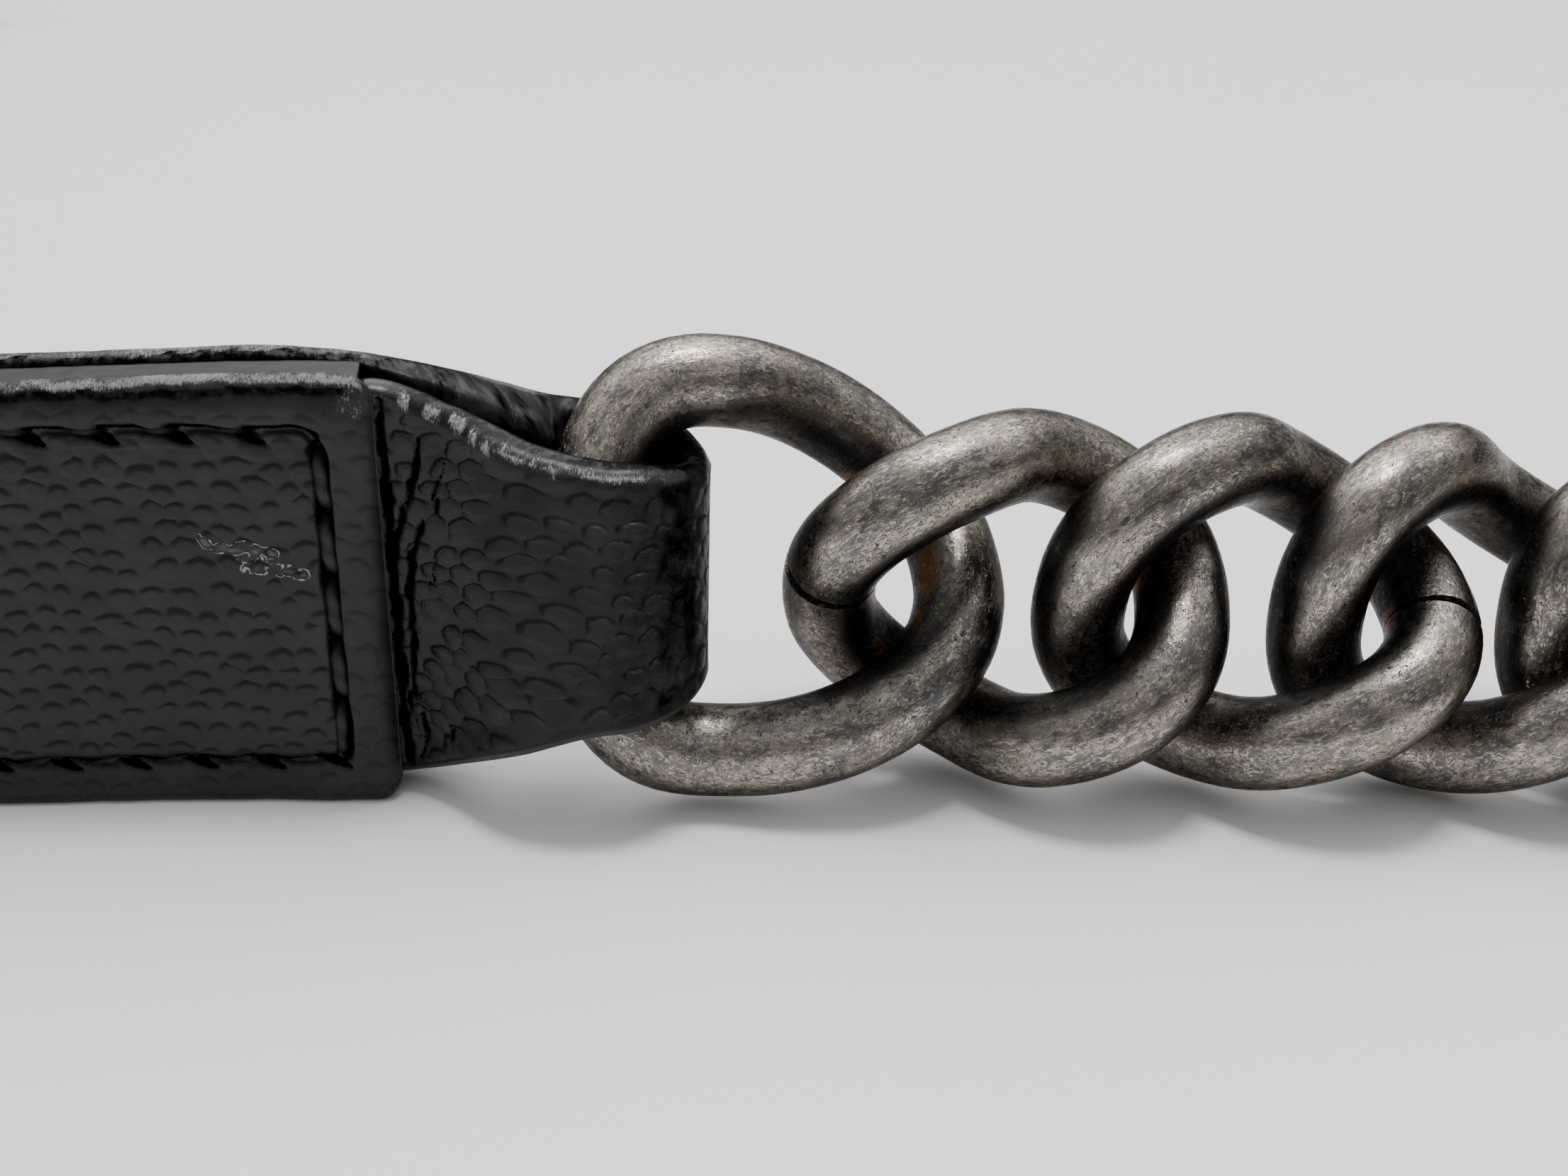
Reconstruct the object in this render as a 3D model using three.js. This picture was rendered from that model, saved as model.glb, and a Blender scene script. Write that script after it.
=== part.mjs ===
// Shoulder strap of a bag, lying on a table: a padded leather strap standing on its lower edge, with a
// leather loop at each end that holds an egg-shaped end link, a curb chain and a flat end ring.
// Millimetres, +Z up. The straight run of the leather faces -Y, and both chains curl in behind it.
import * as THREE from 'three';

// Driving dimensions: the leather.
const strapHeight = 24;
const midHeight = 12.5;
const coverFront = -5.0;
const coverThickness = 3.2;
const skivedThickness = 1.1;
const coverEnd = 21.5;
const skiveEnd = 37;
const skiveSlope = 0.5;
const ribbonThickness = 1.6;
const backingAxis = -0.7;
const edgeChamfer = 0.5;

// Driving dimensions: the route of the strap, seen from above, from the right end to the left one.
const straightRun = 170;
const bendRadius = 90;
const bendAngle = 90;
const farRun = 20;
const bendLength = bendRadius * THREE.MathUtils.degToRad(bendAngle);
const routeLength = straightRun + bendLength + farRun;
const bendSteps = 14;
const stationGap = 2;

// Driving dimensions: the loop that the leather makes round the bar of an end link.
const loopAxis = { s: 9.1, n: -1.2 };
const loopRadius = 4.3;
const loopLean = 0.46;
const loopSteps = 8;

// Driving dimensions: the wire links.
const linkWire = 2.4;
const link = { reach: 9.5, halfWidth: 7.7, roundness: 2.45, twist: 45, twistPower: 0.63 };
const endLink = {
  reach: 13.5, barReach: 6.8, halfWidth: 9.95, roundness: 2.27, barRoundness: 2.67, twist: 35,
};
const wireSides = 8;
const linkSteps = 16;
const chainPitch = 13.1;
const floorClearance = 0.05;

// Driving dimensions: the flat ring at the free end of each chain.
const ring = { outer: 11.8, inner: 8.6, thickness: 2.8, reach: 14, tilt: 21, steps: 24 };

// How the leather ribbon runs at an end: under the cover, out to the loop and round its bar, and back
// along the strap. s is the distance from the end of the route, n the place across the strap (-n is the
// covered side), low and high its edges, and lean how far it leans back for each unit of height.
const ribbonToLoop = [
  { s: 36.0, n: -2.8, low: 0.4, high: 23.4, lean: 0.00 },
  { s: 21.5, n: -2.8, low: 0.4, high: 23.2, lean: 0.00 },
  { s: 17.3, n: -3.3, low: 2.0, high: 21.6, lean: 0.12 },
  { s: 13.0, n: -5.0, low: 4.4, high: 19.5, lean: 0.38 },
];
const ribbonAtLoop = {
  frontLow: 6.4, endLow: 7.6, backLow: 6.4, frontHigh: 18.8, endHigh: 17.8, backHigh: 19.0,
};
const ribbonFromLoop = [
  { s: 13.0, n: 2.6, low: 5.0, high: 19.8, lean: 0.38 },
  { s: 17.3, n: 0.8, low: 2.2, high: 22.0, lean: 0.12 },
  { s: 21.5, n: -0.3, low: 0.5, high: 23.6, lean: 0.00 },
  { s: 26.0, n: backingAxis, low: 0.0, high: strapHeight, lean: 0.00 },
];

// How the first links lie at each end, in the frame of that end: along away from the leather, across
// to its left, up. Each turns by roll, then pitch, then yaw, in degrees, and the rest lie as they fall.
const rightStart = [
  { along: -3.6, across: 0.1, up: 12.2, yaw: 11, roll: -25, pitch: 6 },
  { along: 11.9, across: -0.5, up: 10.8, yaw: -3, roll: -11, pitch: 1 },
  { along: 25.4, across: -0.6, up: 10.4, yaw: 3, roll: -28, pitch: 2 },
  { along: 38.3, across: 0.3, up: 9.8, yaw: 8, roll: -40, pitch: 1 },
  { along: 51.3, across: 0.4, up: 9.2, yaw: -3, roll: -51, pitch: 0 },
];
const leftStart = [
  { along: -3.4, across: 0.0, up: 12.4, yaw: -9, roll: 25, pitch: 3 },
  { along: 12.2, across: -1.4, up: 10.5, yaw: 0, roll: 39, pitch: 2 },
  { along: 24.7, across: -0.2, up: 9.8, yaw: -2, roll: 46, pitch: 0 },
];
// Beyond those, each link rolls and turns on from the one before it until the chain lies flat.
const rightFall = {
  rolls: [-60, -68, -76, -83, -88], flat: -90, turns: [3, 4, 6, 8, 9], turn: 10, links: 15,
};
const leftFall = {
  rolls: [56, 65, 74, 82, 88], flat: 90, turns: [-2, -3, -4, -5], turn: -7, links: 15,
};

const radians = THREE.MathUtils.degToRad;
const leather = new THREE.MeshStandardMaterial({ color: 0x1b1b1c, roughness: 0.62, metalness: 0 });
const pewter = new THREE.MeshStandardMaterial({ color: 0x8f877e, roughness: 0.38, metalness: 1 });

// A point of the route: s along it from the right end, n across it, z up.
function onRoute(s, n, z) {
  const past = Math.min(Math.max(s - straightRun, 0), bendLength);
  const turned = past / bendRadius;
  const near = Math.min(s, straightRun);
  const far = Math.max(s - straightRun - bendLength, 0);
  const fromCentre = bendRadius - n;
  return new THREE.Vector3(
    -near - fromCentre * Math.sin(turned) - far * Math.cos(turned),
    bendRadius - fromCentre * Math.cos(turned) + far * Math.sin(turned),
    z);
}

// A closed solid through rings of points, joined end to end or, when closed is set, into a loop.
function solidThroughRings(rings, closed = false) {
  const sides = rings[0].length;
  const positions = rings.flat().flatMap((point) => point.toArray());
  const index = [];
  const spans = closed ? rings.length : rings.length - 1;
  for (let i = 0; i < spans; i += 1) {
    const here = i * sides;
    const next = ((i + 1) % rings.length) * sides;
    for (let j = 0; j < sides; j += 1) {
      const k = (j + 1) % sides;
      index.push(here + j, next + j, next + k, here + j, next + k, here + k);
    }
  }
  if (!closed) {
    const last = (rings.length - 1) * sides;
    for (let j = 1; j < sides - 1; j += 1) {
      index.push(0, j, j + 1, last, last + j + 1, last + j);
    }
  }
  const geometry = new THREE.BufferGeometry();
  geometry.setAttribute('position', new THREE.Float32BufferAttribute(positions, 3));
  geometry.setIndex(signedVolume(positions, index) < 0 ? index.reverse() : index);
  geometry.computeVertexNormals();
  return geometry;
}

function signedVolume(positions, index) {
  const corner = (i) => new THREE.Vector3().fromArray(positions, 3 * index[i]);
  let volume = 0;
  for (let i = 0; i < index.length; i += 3) {
    volume += corner(i).dot(corner(i + 1).cross(corner(i + 2))) / 6;
  }
  return volume;
}

function piece(name, geometry, material) {
  const mesh = new THREE.Mesh(geometry, material);
  mesh.name = name;
  return mesh;
}

// The stations of the ribbon at one end, from the tuck under the cover to the back of the strap.
function endStations() {
  const loop = [];
  for (let i = 0; i <= loopSteps; i += 1) {
    const turn = Math.PI * i / loopSteps;
    const out = Math.sin(turn);
    const back = (1 - Math.cos(turn)) / 2;
    const low = THREE.MathUtils.lerp(ribbonAtLoop.frontLow, ribbonAtLoop.backLow, back);
    const high = THREE.MathUtils.lerp(ribbonAtLoop.frontHigh, ribbonAtLoop.backHigh, back);
    loop.push({
      s: loopAxis.s - loopRadius * out,
      n: loopAxis.n - loopRadius * Math.cos(turn),
      low: THREE.MathUtils.lerp(low, ribbonAtLoop.endLow, out ** 2),
      high: THREE.MathUtils.lerp(high, ribbonAtLoop.endHigh, out ** 2),
      lean: loopLean,
    });
  }
  return [...ribbonToLoop, ...loop, ...ribbonFromLoop];
}

// The places along the bend where the leather has a station, short of those of its far end.
function bendPlaces(endLength) {
  const places = [];
  for (let i = 0; i <= bendSteps; i += 1) {
    places.push(straightRun + bendLength * i / bendSteps);
  }
  return places.filter((s) => s < routeLength - endLength - stationGap);
}

// One length of leather: tucked under the cover, round the right bar, along the back, round the left bar.
function backingStrip() {
  const right = endStations();
  const left = right.map((station) => ({ ...station, s: routeLength - station.s })).reverse();
  const between = bendPlaces(right[right.length - 1].s)
    .map((s) => ({ s, n: backingAxis, low: 0, high: strapHeight, lean: 0 }));
  const path = [...right, ...between, ...left];
  const axis = path.map(({ s, n }) => onRoute(s, n, 0));
  const rings = path.map(({ s, n, low, high, lean }, i) => {
    const ahead = axis[Math.min(i + 1, axis.length - 1)];
    const behind = axis[Math.max(i - 1, 0)];
    const across = ahead.clone().sub(behind).normalize().cross(new THREE.Vector3(0, 0, 1));
    const at = (side, z) => onRoute(s, n + lean * (z - midHeight), z).addScaledVector(across, side);
    const half = ribbonThickness / 2;
    const flat = half - edgeChamfer;
    return [
      at(-flat, low), at(flat, low), at(half, low + edgeChamfer), at(half, high - edgeChamfer),
      at(flat, high), at(-flat, high), at(-half, high - edgeChamfer), at(-half, low + edgeChamfer),
    ];
  });
  return piece('backing_strip', solidThroughRings(rings), leather);
}

// The padded cover on the outside of the strap, skived thin at its ends over the tucked leather.
function coverStrip() {
  const nearEnd = [
    { s: coverEnd, back: coverFront + skivedThickness },
    { s: skiveEnd, back: coverFront + skivedThickness },
    { s: skiveEnd + skiveSlope, back: coverFront + coverThickness },
  ];
  const farEnd = nearEnd.map(({ s, back }) => ({ s: routeLength - s, back })).reverse();
  const between = bendPlaces(skiveEnd + skiveSlope)
    .map((s) => ({ s, back: coverFront + coverThickness }));
  const path = [...nearEnd, ...between, ...farEnd];
  const rings = path.map(({ s, back }) => {
    const at = (n, z) => onRoute(s, n, z);
    return [
      at(coverFront + edgeChamfer, 0), at(back, 0), at(back, strapHeight),
      at(coverFront + edgeChamfer, strapHeight), at(coverFront, strapHeight - edgeChamfer),
      at(coverFront, edgeChamfer),
    ];
  });
  return piece('cover_strip', solidThroughRings(rings), leather);
}

// The centreline of a link: a superellipse in the XZ plane, twisted about X towards its ends.
function linkAxis(reach, backReach, halfWidth, roundness, backRoundness, twistAt) {
  const points = [];
  for (let i = 0; i < linkSteps; i += 1) {
    const turn = 2 * Math.PI * i / linkSteps;
    const cos = Math.cos(turn);
    const sin = Math.sin(turn);
    const power = 2 / (cos > 0 ? roundness : backRoundness);
    const x = (cos > 0 ? reach : backReach) * Math.sign(cos) * Math.abs(cos) ** power;
    const across = halfWidth * Math.sign(sin) * Math.abs(sin) ** power;
    const twist = radians(twistAt(x / reach));
    points.push(new THREE.Vector3(x, across * Math.sin(twist), across * Math.cos(twist)));
  }
  return points;
}

// Round wire along a closed axis. Its sides keep the wire's own volume.
function wireAlong(points) {
  const facing = new THREE.Vector3(0, 1, 0);
  const slice = Math.PI / wireSides;
  const radius = linkWire * Math.sqrt(slice / (Math.sin(slice) * Math.cos(slice)));
  const rings = points.map((point, i) => {
    const before = points[(i + points.length - 1) % points.length];
    const after = points[(i + 1) % points.length];
    const ahead = after.clone().sub(before).normalize();
    const up = facing.clone().addScaledVector(ahead, -facing.dot(ahead)).normalize();
    const side = ahead.clone().cross(up);
    return Array.from({ length: wireSides }, (_, j) => {
      const turn = 2 * slice * (j + 0.5);
      const outward = up.clone().multiplyScalar(Math.cos(turn)).addScaledVector(side, Math.sin(turn));
      return point.clone().addScaledVector(outward, radius);
    });
  });
  return solidThroughRings(rings, true);
}

const signedPower = (value, power) => Math.sign(value) * Math.abs(value) ** power;
const curbGeometry = wireAlong(linkAxis(link.reach, link.reach, link.halfWidth, link.roundness,
  link.roundness, (x) => link.twist * signedPower(x, link.twistPower)));
const endGeometry = wireAlong(linkAxis(endLink.reach, endLink.barReach, endLink.halfWidth,
  endLink.roundness, endLink.barRoundness, (x) => endLink.twist * Math.max(x, 0)));

function setTurn(mesh, { yaw, roll, pitch }) {
  mesh.rotation.set(radians(roll), radians(pitch), radians(yaw), 'ZYX');
}

// How high the centre of a curb link lies when it touches the table with a given roll.
function restingHeight(roll) {
  const turned = curbGeometry.clone().rotateX(radians(roll));
  turned.computeBoundingBox();
  return floorClearance - turned.boundingBox.min.z;
}

// The links of one chain: those placed one by one, then those that fall flat along the curl.
function chainPoses(start, fall) {
  const poses = start.map((pose) => ({ ...pose }));
  let heading = poses[poses.length - 1].yaw;
  while (poses.length <= fall.links) {
    const last = poses[poses.length - 1];
    const step = poses.length - start.length;
    const turn = fall.turns[step] ?? fall.turn;
    const roll = fall.rolls[step] ?? fall.flat;
    const way = radians(heading + turn / 2);
    heading += turn;
    poses.push({
      along: last.along + chainPitch * Math.cos(way),
      across: last.across + chainPitch * Math.sin(way),
      up: restingHeight(roll), yaw: heading, roll, pitch: 0,
    });
  }
  return poses;
}

function endRing(name, last) {
  const outline = new THREE.Shape().absarc(0, 0, ring.outer, 0, 2 * Math.PI);
  outline.holes.push(new THREE.Path().absarc(0, 0, ring.inner, 0, 2 * Math.PI, true));
  const geometry = new THREE.ExtrudeGeometry(outline,
    { depth: ring.thickness, bevelEnabled: false, curveSegments: ring.steps });
  geometry.translate(0, 0, -ring.thickness / 2);
  const mesh = piece(name, geometry, pewter);
  const way = radians(last.yaw);
  const tilt = radians(ring.tilt);
  const height = floorClearance + ring.outer * Math.sin(tilt) + ring.thickness / 2 * Math.cos(tilt);
  mesh.position.set(
    last.along + ring.reach * Math.cos(way), last.across + ring.reach * Math.sin(way), height);
  setTurn(mesh, { yaw: last.yaw, roll: ring.tilt, pitch: 0 });
  return mesh;
}

// One chain with its end link and its ring, in the frame of its end of the strap.
function chain(side, start, fall) {
  const group = new THREE.Group();
  const poses = chainPoses(start, fall);
  poses.forEach((pose, i) => {
    const name = i === 0 ? `end_link_${side}` : `chain_link_${side}_${String(i).padStart(2, '0')}`;
    const mesh = piece(name, i === 0 ? endGeometry : curbGeometry, pewter);
    mesh.position.set(pose.along, pose.across, pose.up);
    setTurn(mesh, pose);
    group.add(mesh);
  });
  group.add(endRing(`end_ring_${side}`, poses[poses.length - 1]));
  return group;
}

const strap = new THREE.Group();
strap.add(coverStrip(), backingStrip());
strap.add(chain('right', rightStart, rightFall));
const leftChain = chain('left', leftStart, leftFall);
leftChain.position.copy(onRoute(routeLength, 0, 0));
leftChain.rotation.z = Math.PI - radians(bendAngle);
strap.add(leftChain);

// The origin is the middle of the strap's footprint on the table.
const extent = new THREE.Box3().setFromObject(strap, true);
const middle = extent.getCenter(new THREE.Vector3());
strap.position.set(-middle.x, -middle.y, -extent.min.z);

export default strap;
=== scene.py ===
import math

import bmesh
import bpy
import numpy as np
from bpy.props import FloatProperty, FloatVectorProperty, IntProperty, PointerProperty
from mathutils import Euler, Matrix, Vector


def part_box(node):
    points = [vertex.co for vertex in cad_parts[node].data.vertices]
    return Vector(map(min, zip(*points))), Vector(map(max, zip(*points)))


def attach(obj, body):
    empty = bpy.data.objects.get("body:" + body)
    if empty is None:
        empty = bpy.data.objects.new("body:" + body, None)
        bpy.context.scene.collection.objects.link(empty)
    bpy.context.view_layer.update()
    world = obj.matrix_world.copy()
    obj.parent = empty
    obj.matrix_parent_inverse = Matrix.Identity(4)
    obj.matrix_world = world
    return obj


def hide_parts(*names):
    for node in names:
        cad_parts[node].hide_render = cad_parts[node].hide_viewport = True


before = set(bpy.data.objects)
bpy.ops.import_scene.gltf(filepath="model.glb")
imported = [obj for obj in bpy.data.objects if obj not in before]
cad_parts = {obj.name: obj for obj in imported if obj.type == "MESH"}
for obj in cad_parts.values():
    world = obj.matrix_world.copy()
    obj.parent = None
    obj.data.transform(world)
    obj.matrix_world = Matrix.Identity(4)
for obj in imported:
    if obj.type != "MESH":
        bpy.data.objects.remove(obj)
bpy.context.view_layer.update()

bl_info = {
    "name": "Bag Shoulder Strap",
    "version": (1, 0, 0),
    "blender": (4, 5, 0),
    "location": "View3D > Sidebar > Shoulder Strap",
    "description": "Makes a stitched leather shoulder strap with curb chains around its fixed frame",
    "category": "Object",
}

MM = 0.001

# How the strap lies. s runs along it from the route's right end, n across it (the covered side is -n),
# and lengths are in millimetres wherever they aren't multiplied by MM. The solid cover's end and front
# are at SOLID_END along the route and SOLID_FRONT across it, which places the route.
COVER_LOW, COVER_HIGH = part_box("cover_strip")
SOLID_END = 21.5
SOLID_FRONT = -5.0
STRAIGHT_RUN = 170.0
BEND_RADIUS = 90.0
FAR_RUN = 20.0
BEND_LENGTH = BEND_RADIUS * math.pi / 2
ROUTE_LENGTH = STRAIGHT_RUN + BEND_LENGTH + FAR_RUN
ROUTE_START = Vector((COVER_HIGH.x + SOLID_END * MM, COVER_LOW.y - SOLID_FRONT * MM, 0))
FULL_HEIGHT = 24.0
MID_HEIGHT = 12.5

# How far the lowest points stay above the floor.
LEATHER_CLEAR = 0.015
METAL_CLEAR = 0.01

# The leather sways off the straight line a little, towards its covered side, and its top edge dips
# where the strap has been gripped.
SWAY = {"depth": 1.0, "rise": (27.0, 48.0), "fall": (70.0, 120.0)}
DIP = {"depth": 0.45, "rise": (24.0, 41.0), "fall": (52.0, 95.0)}

SIDES = ("right", "left")
LINKS = 15


def ease(value, start, stop):
    """0 before start, 1 after stop, and a smooth step between them."""
    t = np.clip((value - start) / (stop - start), 0, 1)
    return t * t * (3 - 2 * t)


def within(value, rise, fall):
    """1 between a rise and a fall, each given as where it starts and stops, and 0 outside them."""
    return ease(value, *rise) * (1 - ease(value, *fall))


def bell(value, width, power=2):
    """1 at nought, falling off to both sides; a higher power gives a flatter top."""
    return np.exp(-(np.abs(value) / width) ** power)


def dip(s):
    """How far the leather's top edge lies below its full height."""
    return DIP["depth"] * within(s, DIP["rise"], DIP["fall"])


def on_route(s, n, z):
    """Places in the row frame, in metres, of route coordinates in millimetres."""
    s, n, z = np.broadcast_arrays(np.asarray(s, float), n, z)
    n = n - SWAY["depth"] * within(s, SWAY["rise"], SWAY["fall"])
    turned = np.clip(s - STRAIGHT_RUN, 0, BEND_LENGTH) / BEND_RADIUS
    near = np.minimum(s, STRAIGHT_RUN)
    far = np.maximum(s - STRAIGHT_RUN - BEND_LENGTH, 0)
    from_centre = BEND_RADIUS - n
    x = -near - from_centre * np.sin(turned) - far * np.cos(turned)
    y = BEND_RADIUS - from_centre * np.cos(turned) + far * np.sin(turned)
    return np.stack([x, y, z], -1) * MM + np.array(ROUTE_START)


# ---------------------------------------------------------------------------------------------------
# Short ways to build node trees and meshes


class Value:
    """A number, vector or colour in a node tree. Sums written with it add the nodes that do them."""

    def __init__(self, tree, socket):
        self.tree = tree
        self.socket = socket
        self.is_vector = socket.type in ("VECTOR", "RGBA")

    def join(self, operation, first, second):
        wide = any(isinstance(item, tuple) or getattr(item, "is_vector", False) for item in (first, second))
        return (self.tree.vector if wide else self.tree.math)(operation, first, second)

    def __abs__(self):
        return self.tree.math("ABSOLUTE", self)


for sign, operation in (("add", "ADD"), ("sub", "SUBTRACT"), ("mul", "MULTIPLY"), ("truediv", "DIVIDE")):
    setattr(Value, f"__{sign}__", lambda self, other, kind=operation: self.join(kind, self, other))
    setattr(Value, f"__r{sign}__", lambda self, other, kind=operation: self.join(kind, other, self))


class Tree:
    """A node tree under construction. Its methods take and return values."""

    def __init__(self, tree):
        self.tree = tree

    def node(self, kind, **settings):
        made = self.tree.nodes.new(kind)
        for name, value in settings.items():
            setattr(made, name, value)
        return made

    def plug(self, socket, value):
        if isinstance(value, Value):
            self.tree.links.new(value.socket, socket)
        else:
            socket.default_value = value

    def add(self, kind, inputs=None, output=0, **settings):
        """Adds a node, fills the inputs named, and returns one output."""
        made = self.node(kind, **settings)
        for name, value in (inputs or {}).items():
            self.plug(made.inputs[name], value)
        return Value(self, made.outputs[output])

    def math(self, operation, *values):
        return self.add("ShaderNodeMath", dict(enumerate(values)), operation=operation)

    def vector(self, operation, *values, output=0):
        return self.add("ShaderNodeVectorMath", dict(enumerate(values)), output, operation=operation)

    def scaled(self, vector, scale):
        return self.add("ShaderNodeVectorMath", {"Vector": vector, "Scale": scale}, operation="SCALE")

    def combine(self, x=0.0, y=0.0, z=0.0):
        return self.add("ShaderNodeCombineXYZ", {"X": x, "Y": y, "Z": z})

    def separate(self, vector):
        made = self.add("ShaderNodeSeparateXYZ", {0: vector}).socket.node
        return [Value(self, output) for output in made.outputs]

    def rescale(self, value, low, high, to_low=0.0, to_high=1.0, smooth=True):
        """Maps low..high to to_low..to_high, held at both ends."""
        return self.add("ShaderNodeMapRange", {
            "Value": value, "From Min": low, "From Max": high, "To Min": to_low, "To Max": to_high,
        }, interpolation_type="SMOOTHSTEP" if smooth else "LINEAR", clamp=True)

    def mix(self, factor, a, b):
        """A number between a and b."""
        return a + factor * (b - a)

    def noise(self, vector, scale, detail=3.0, roughness=0.5, distortion=0.0, output=0):
        return self.add("ShaderNodeTexNoise", {
            "Vector": vector, "Scale": scale, "Detail": detail, "Roughness": roughness,
            "Distortion": distortion}, output)


class Shader(Tree):
    """A material's tree, with its main shader at hand."""

    def __init__(self, name):
        self.material = bpy.data.materials.new(name)
        self.material.use_nodes = True
        super().__init__(self.material.node_tree)
        self.main = self.tree.nodes["Principled BSDF"]

    def attribute(self, name, output="Fac"):
        return self.add("ShaderNodeAttribute", output=output, attribute_name=name,
                        attribute_type="GEOMETRY")

    def colour(self, factor, a, b):
        """A colour between a and b, each a value or three numbers."""
        made = self.node("ShaderNodeMix", data_type="RGBA", blend_type="MIX")
        self.plug(made.inputs["Factor"], factor)
        sockets = [socket for socket in made.inputs if socket.type == "RGBA"]
        for socket, value in zip(sockets, (a, b)):
            self.plug(socket, value if isinstance(value, Value) else (*value, 1))
        return Value(self, next(socket for socket in made.outputs if socket.type == "RGBA"))

    def bump(self, height, distance, strength=1.0, **normal):
        """A normal bent by a height; an earlier normal can be given as Normal."""
        return self.add("ShaderNodeBump", {
            "Height": height, "Distance": distance, "Strength": strength, **normal})

    def finish(self, inputs):
        for name, value in inputs.items():
            self.plug(self.main.inputs[name], value)
        return self.material


class Shape(Tree):
    """A geometry tree with named inputs, whose first input and only output are geometry."""

    def __init__(self, name):
        super().__init__(bpy.data.node_groups.new(name, "GeometryNodeTree"))
        face = self.tree.interface
        face.new_socket("Geometry", in_out="INPUT", socket_type="NodeSocketGeometry")
        face.new_socket("Geometry", in_out="OUTPUT", socket_type="NodeSocketGeometry")
        self.entry = self.node("NodeGroupInput")
        self.exit = self.node("NodeGroupOutput")

    def size(self, name, default=None, kind="Float"):
        """A named input of the tree."""
        made = self.tree.interface.new_socket(name, in_out="INPUT", socket_type=f"NodeSocket{kind}")
        if default is not None:
            made.default_value = default
        return Value(self, self.entry.outputs[name])

    def store(self, geometry, name, value):
        """Keeps a value under a name on the geometry's points."""
        kind = "FLOAT_VECTOR" if value.is_vector else "FLOAT"
        return self.add("GeometryNodeStoreNamedAttribute", {
            "Geometry": geometry, "Name": name, "Value": value}, data_type=kind, domain="POINT")

    def named(self, name, kind="FLOAT"):
        return self.add("GeometryNodeInputNamedAttribute", {"Name": name}, data_type=kind)

    def position(self):
        return self.add("GeometryNodeInputPosition")

    def move(self, geometry, **how):
        """Moves points to a Position or by an Offset."""
        return self.add("GeometryNodeSetPosition", {"Geometry": geometry, **how})

    def resample(self, curve, count):
        return self.add("GeometryNodeResampleCurve", {"Curve": curve, "Count": count})

    def circle(self, resolution, radius):
        return self.add("GeometryNodeCurvePrimitiveCircle", {"Resolution": resolution, "Radius": radius},
                        mode="RADIUS")

    def sweep(self, curve, section, caps=False):
        """A section carried along a curve. Each point keeps its place in the section."""
        section = self.store(section, "section", self.position())
        return self.add("GeometryNodeCurveToMesh", {
            "Curve": curve, "Profile Curve": section, "Fill Caps": caps})

    def section_place(self):
        return self.separate(self.named("section", "FLOAT_VECTOR"))

    def copies(self, instance):
        """The instance at each point that the tree is given, turned as the point says."""
        turn = self.add("FunctionNodeEulerToRotation", {"Euler": self.named("turn", "FLOAT_VECTOR")})
        return self.add("GeometryNodeInstanceOnPoints", {
            "Points": Value(self, self.entry.outputs[0]), "Instance": instance, "Rotation": turn})

    def realize(self, geometry):
        return self.add("GeometryNodeRealizeInstances", {"Geometry": geometry})

    def close(self, geometry, material):
        """Realizes the instances, sets the material and ends the tree."""
        smooth = self.add("GeometryNodeSetShadeSmooth", {"Geometry": self.realize(geometry)})
        done = self.add("GeometryNodeSetMaterial", {"Geometry": smooth, "Material": material})
        self.plug(self.exit.inputs[0], done)
        return self.tree


def put(name, data):
    """A new object in the scene."""
    made = bpy.data.objects.new(name, data)
    bpy.context.scene.collection.objects.link(made)
    return made


def grow(name, points, tree, sizes):
    """Runs a geometry tree on a mesh and returns the result as a plain object of its own."""
    base = put(name + "_base", points)
    modifier = base.modifiers.new("made_by", "NODES")
    modifier.node_group = tree
    for item in tree.interface.items_tree:
        if item.in_out == "INPUT" and item.name in sizes:
            modifier[item.identifier] = sizes[item.name]
    bpy.context.view_layer.update()
    evaluated = base.evaluated_get(bpy.context.evaluated_depsgraph_get())
    mesh = bpy.data.meshes.new_from_object(evaluated)
    base.modifiers.remove(modifier)
    bpy.data.objects.remove(base)
    mesh.name = name
    if not len(mesh.polygons):
        raise RuntimeError(f"{name} came out empty")
    return put(name, mesh)


def keep(mesh, values):
    """Keeps arrays of numbers or vectors as the mesh's point attributes, by name."""
    for name, array in values.items():
        wide = array.shape[-1] == 3 and array.size == 3 * len(mesh.vertices)
        made = mesh.attributes.new(name, "FLOAT_VECTOR" if wide else "FLOAT", "POINT")
        made.data.foreach_set("vector" if wide else "value", array.astype(np.float32).ravel())


def mesh_of(name, positions, faces, material, values=None):
    """A smooth mesh from points and faces, with its faces turned outwards and point attributes."""
    mesh = bpy.data.meshes.new(name)
    mesh.from_pydata(positions.reshape(-1, 3).tolist(), [], faces)
    keep(mesh, values or {})
    work = bmesh.new()
    work.from_mesh(mesh)
    bmesh.ops.recalc_face_normals(work, faces=work.faces)
    work.to_mesh(mesh)
    work.free()
    mesh.polygons.foreach_set("use_smooth", np.ones(len(mesh.polygons), bool))
    mesh.update()
    mesh.materials.append(material)
    return mesh


def dress(piece, slot, *nodes):
    """Rides a finished piece on the strap's one body, in place of CAD nodes."""
    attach(piece, "root")
    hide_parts(*nodes)
    return piece


# ---------------------------------------------------------------------------------------------------
# Settings that a user would change


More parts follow.
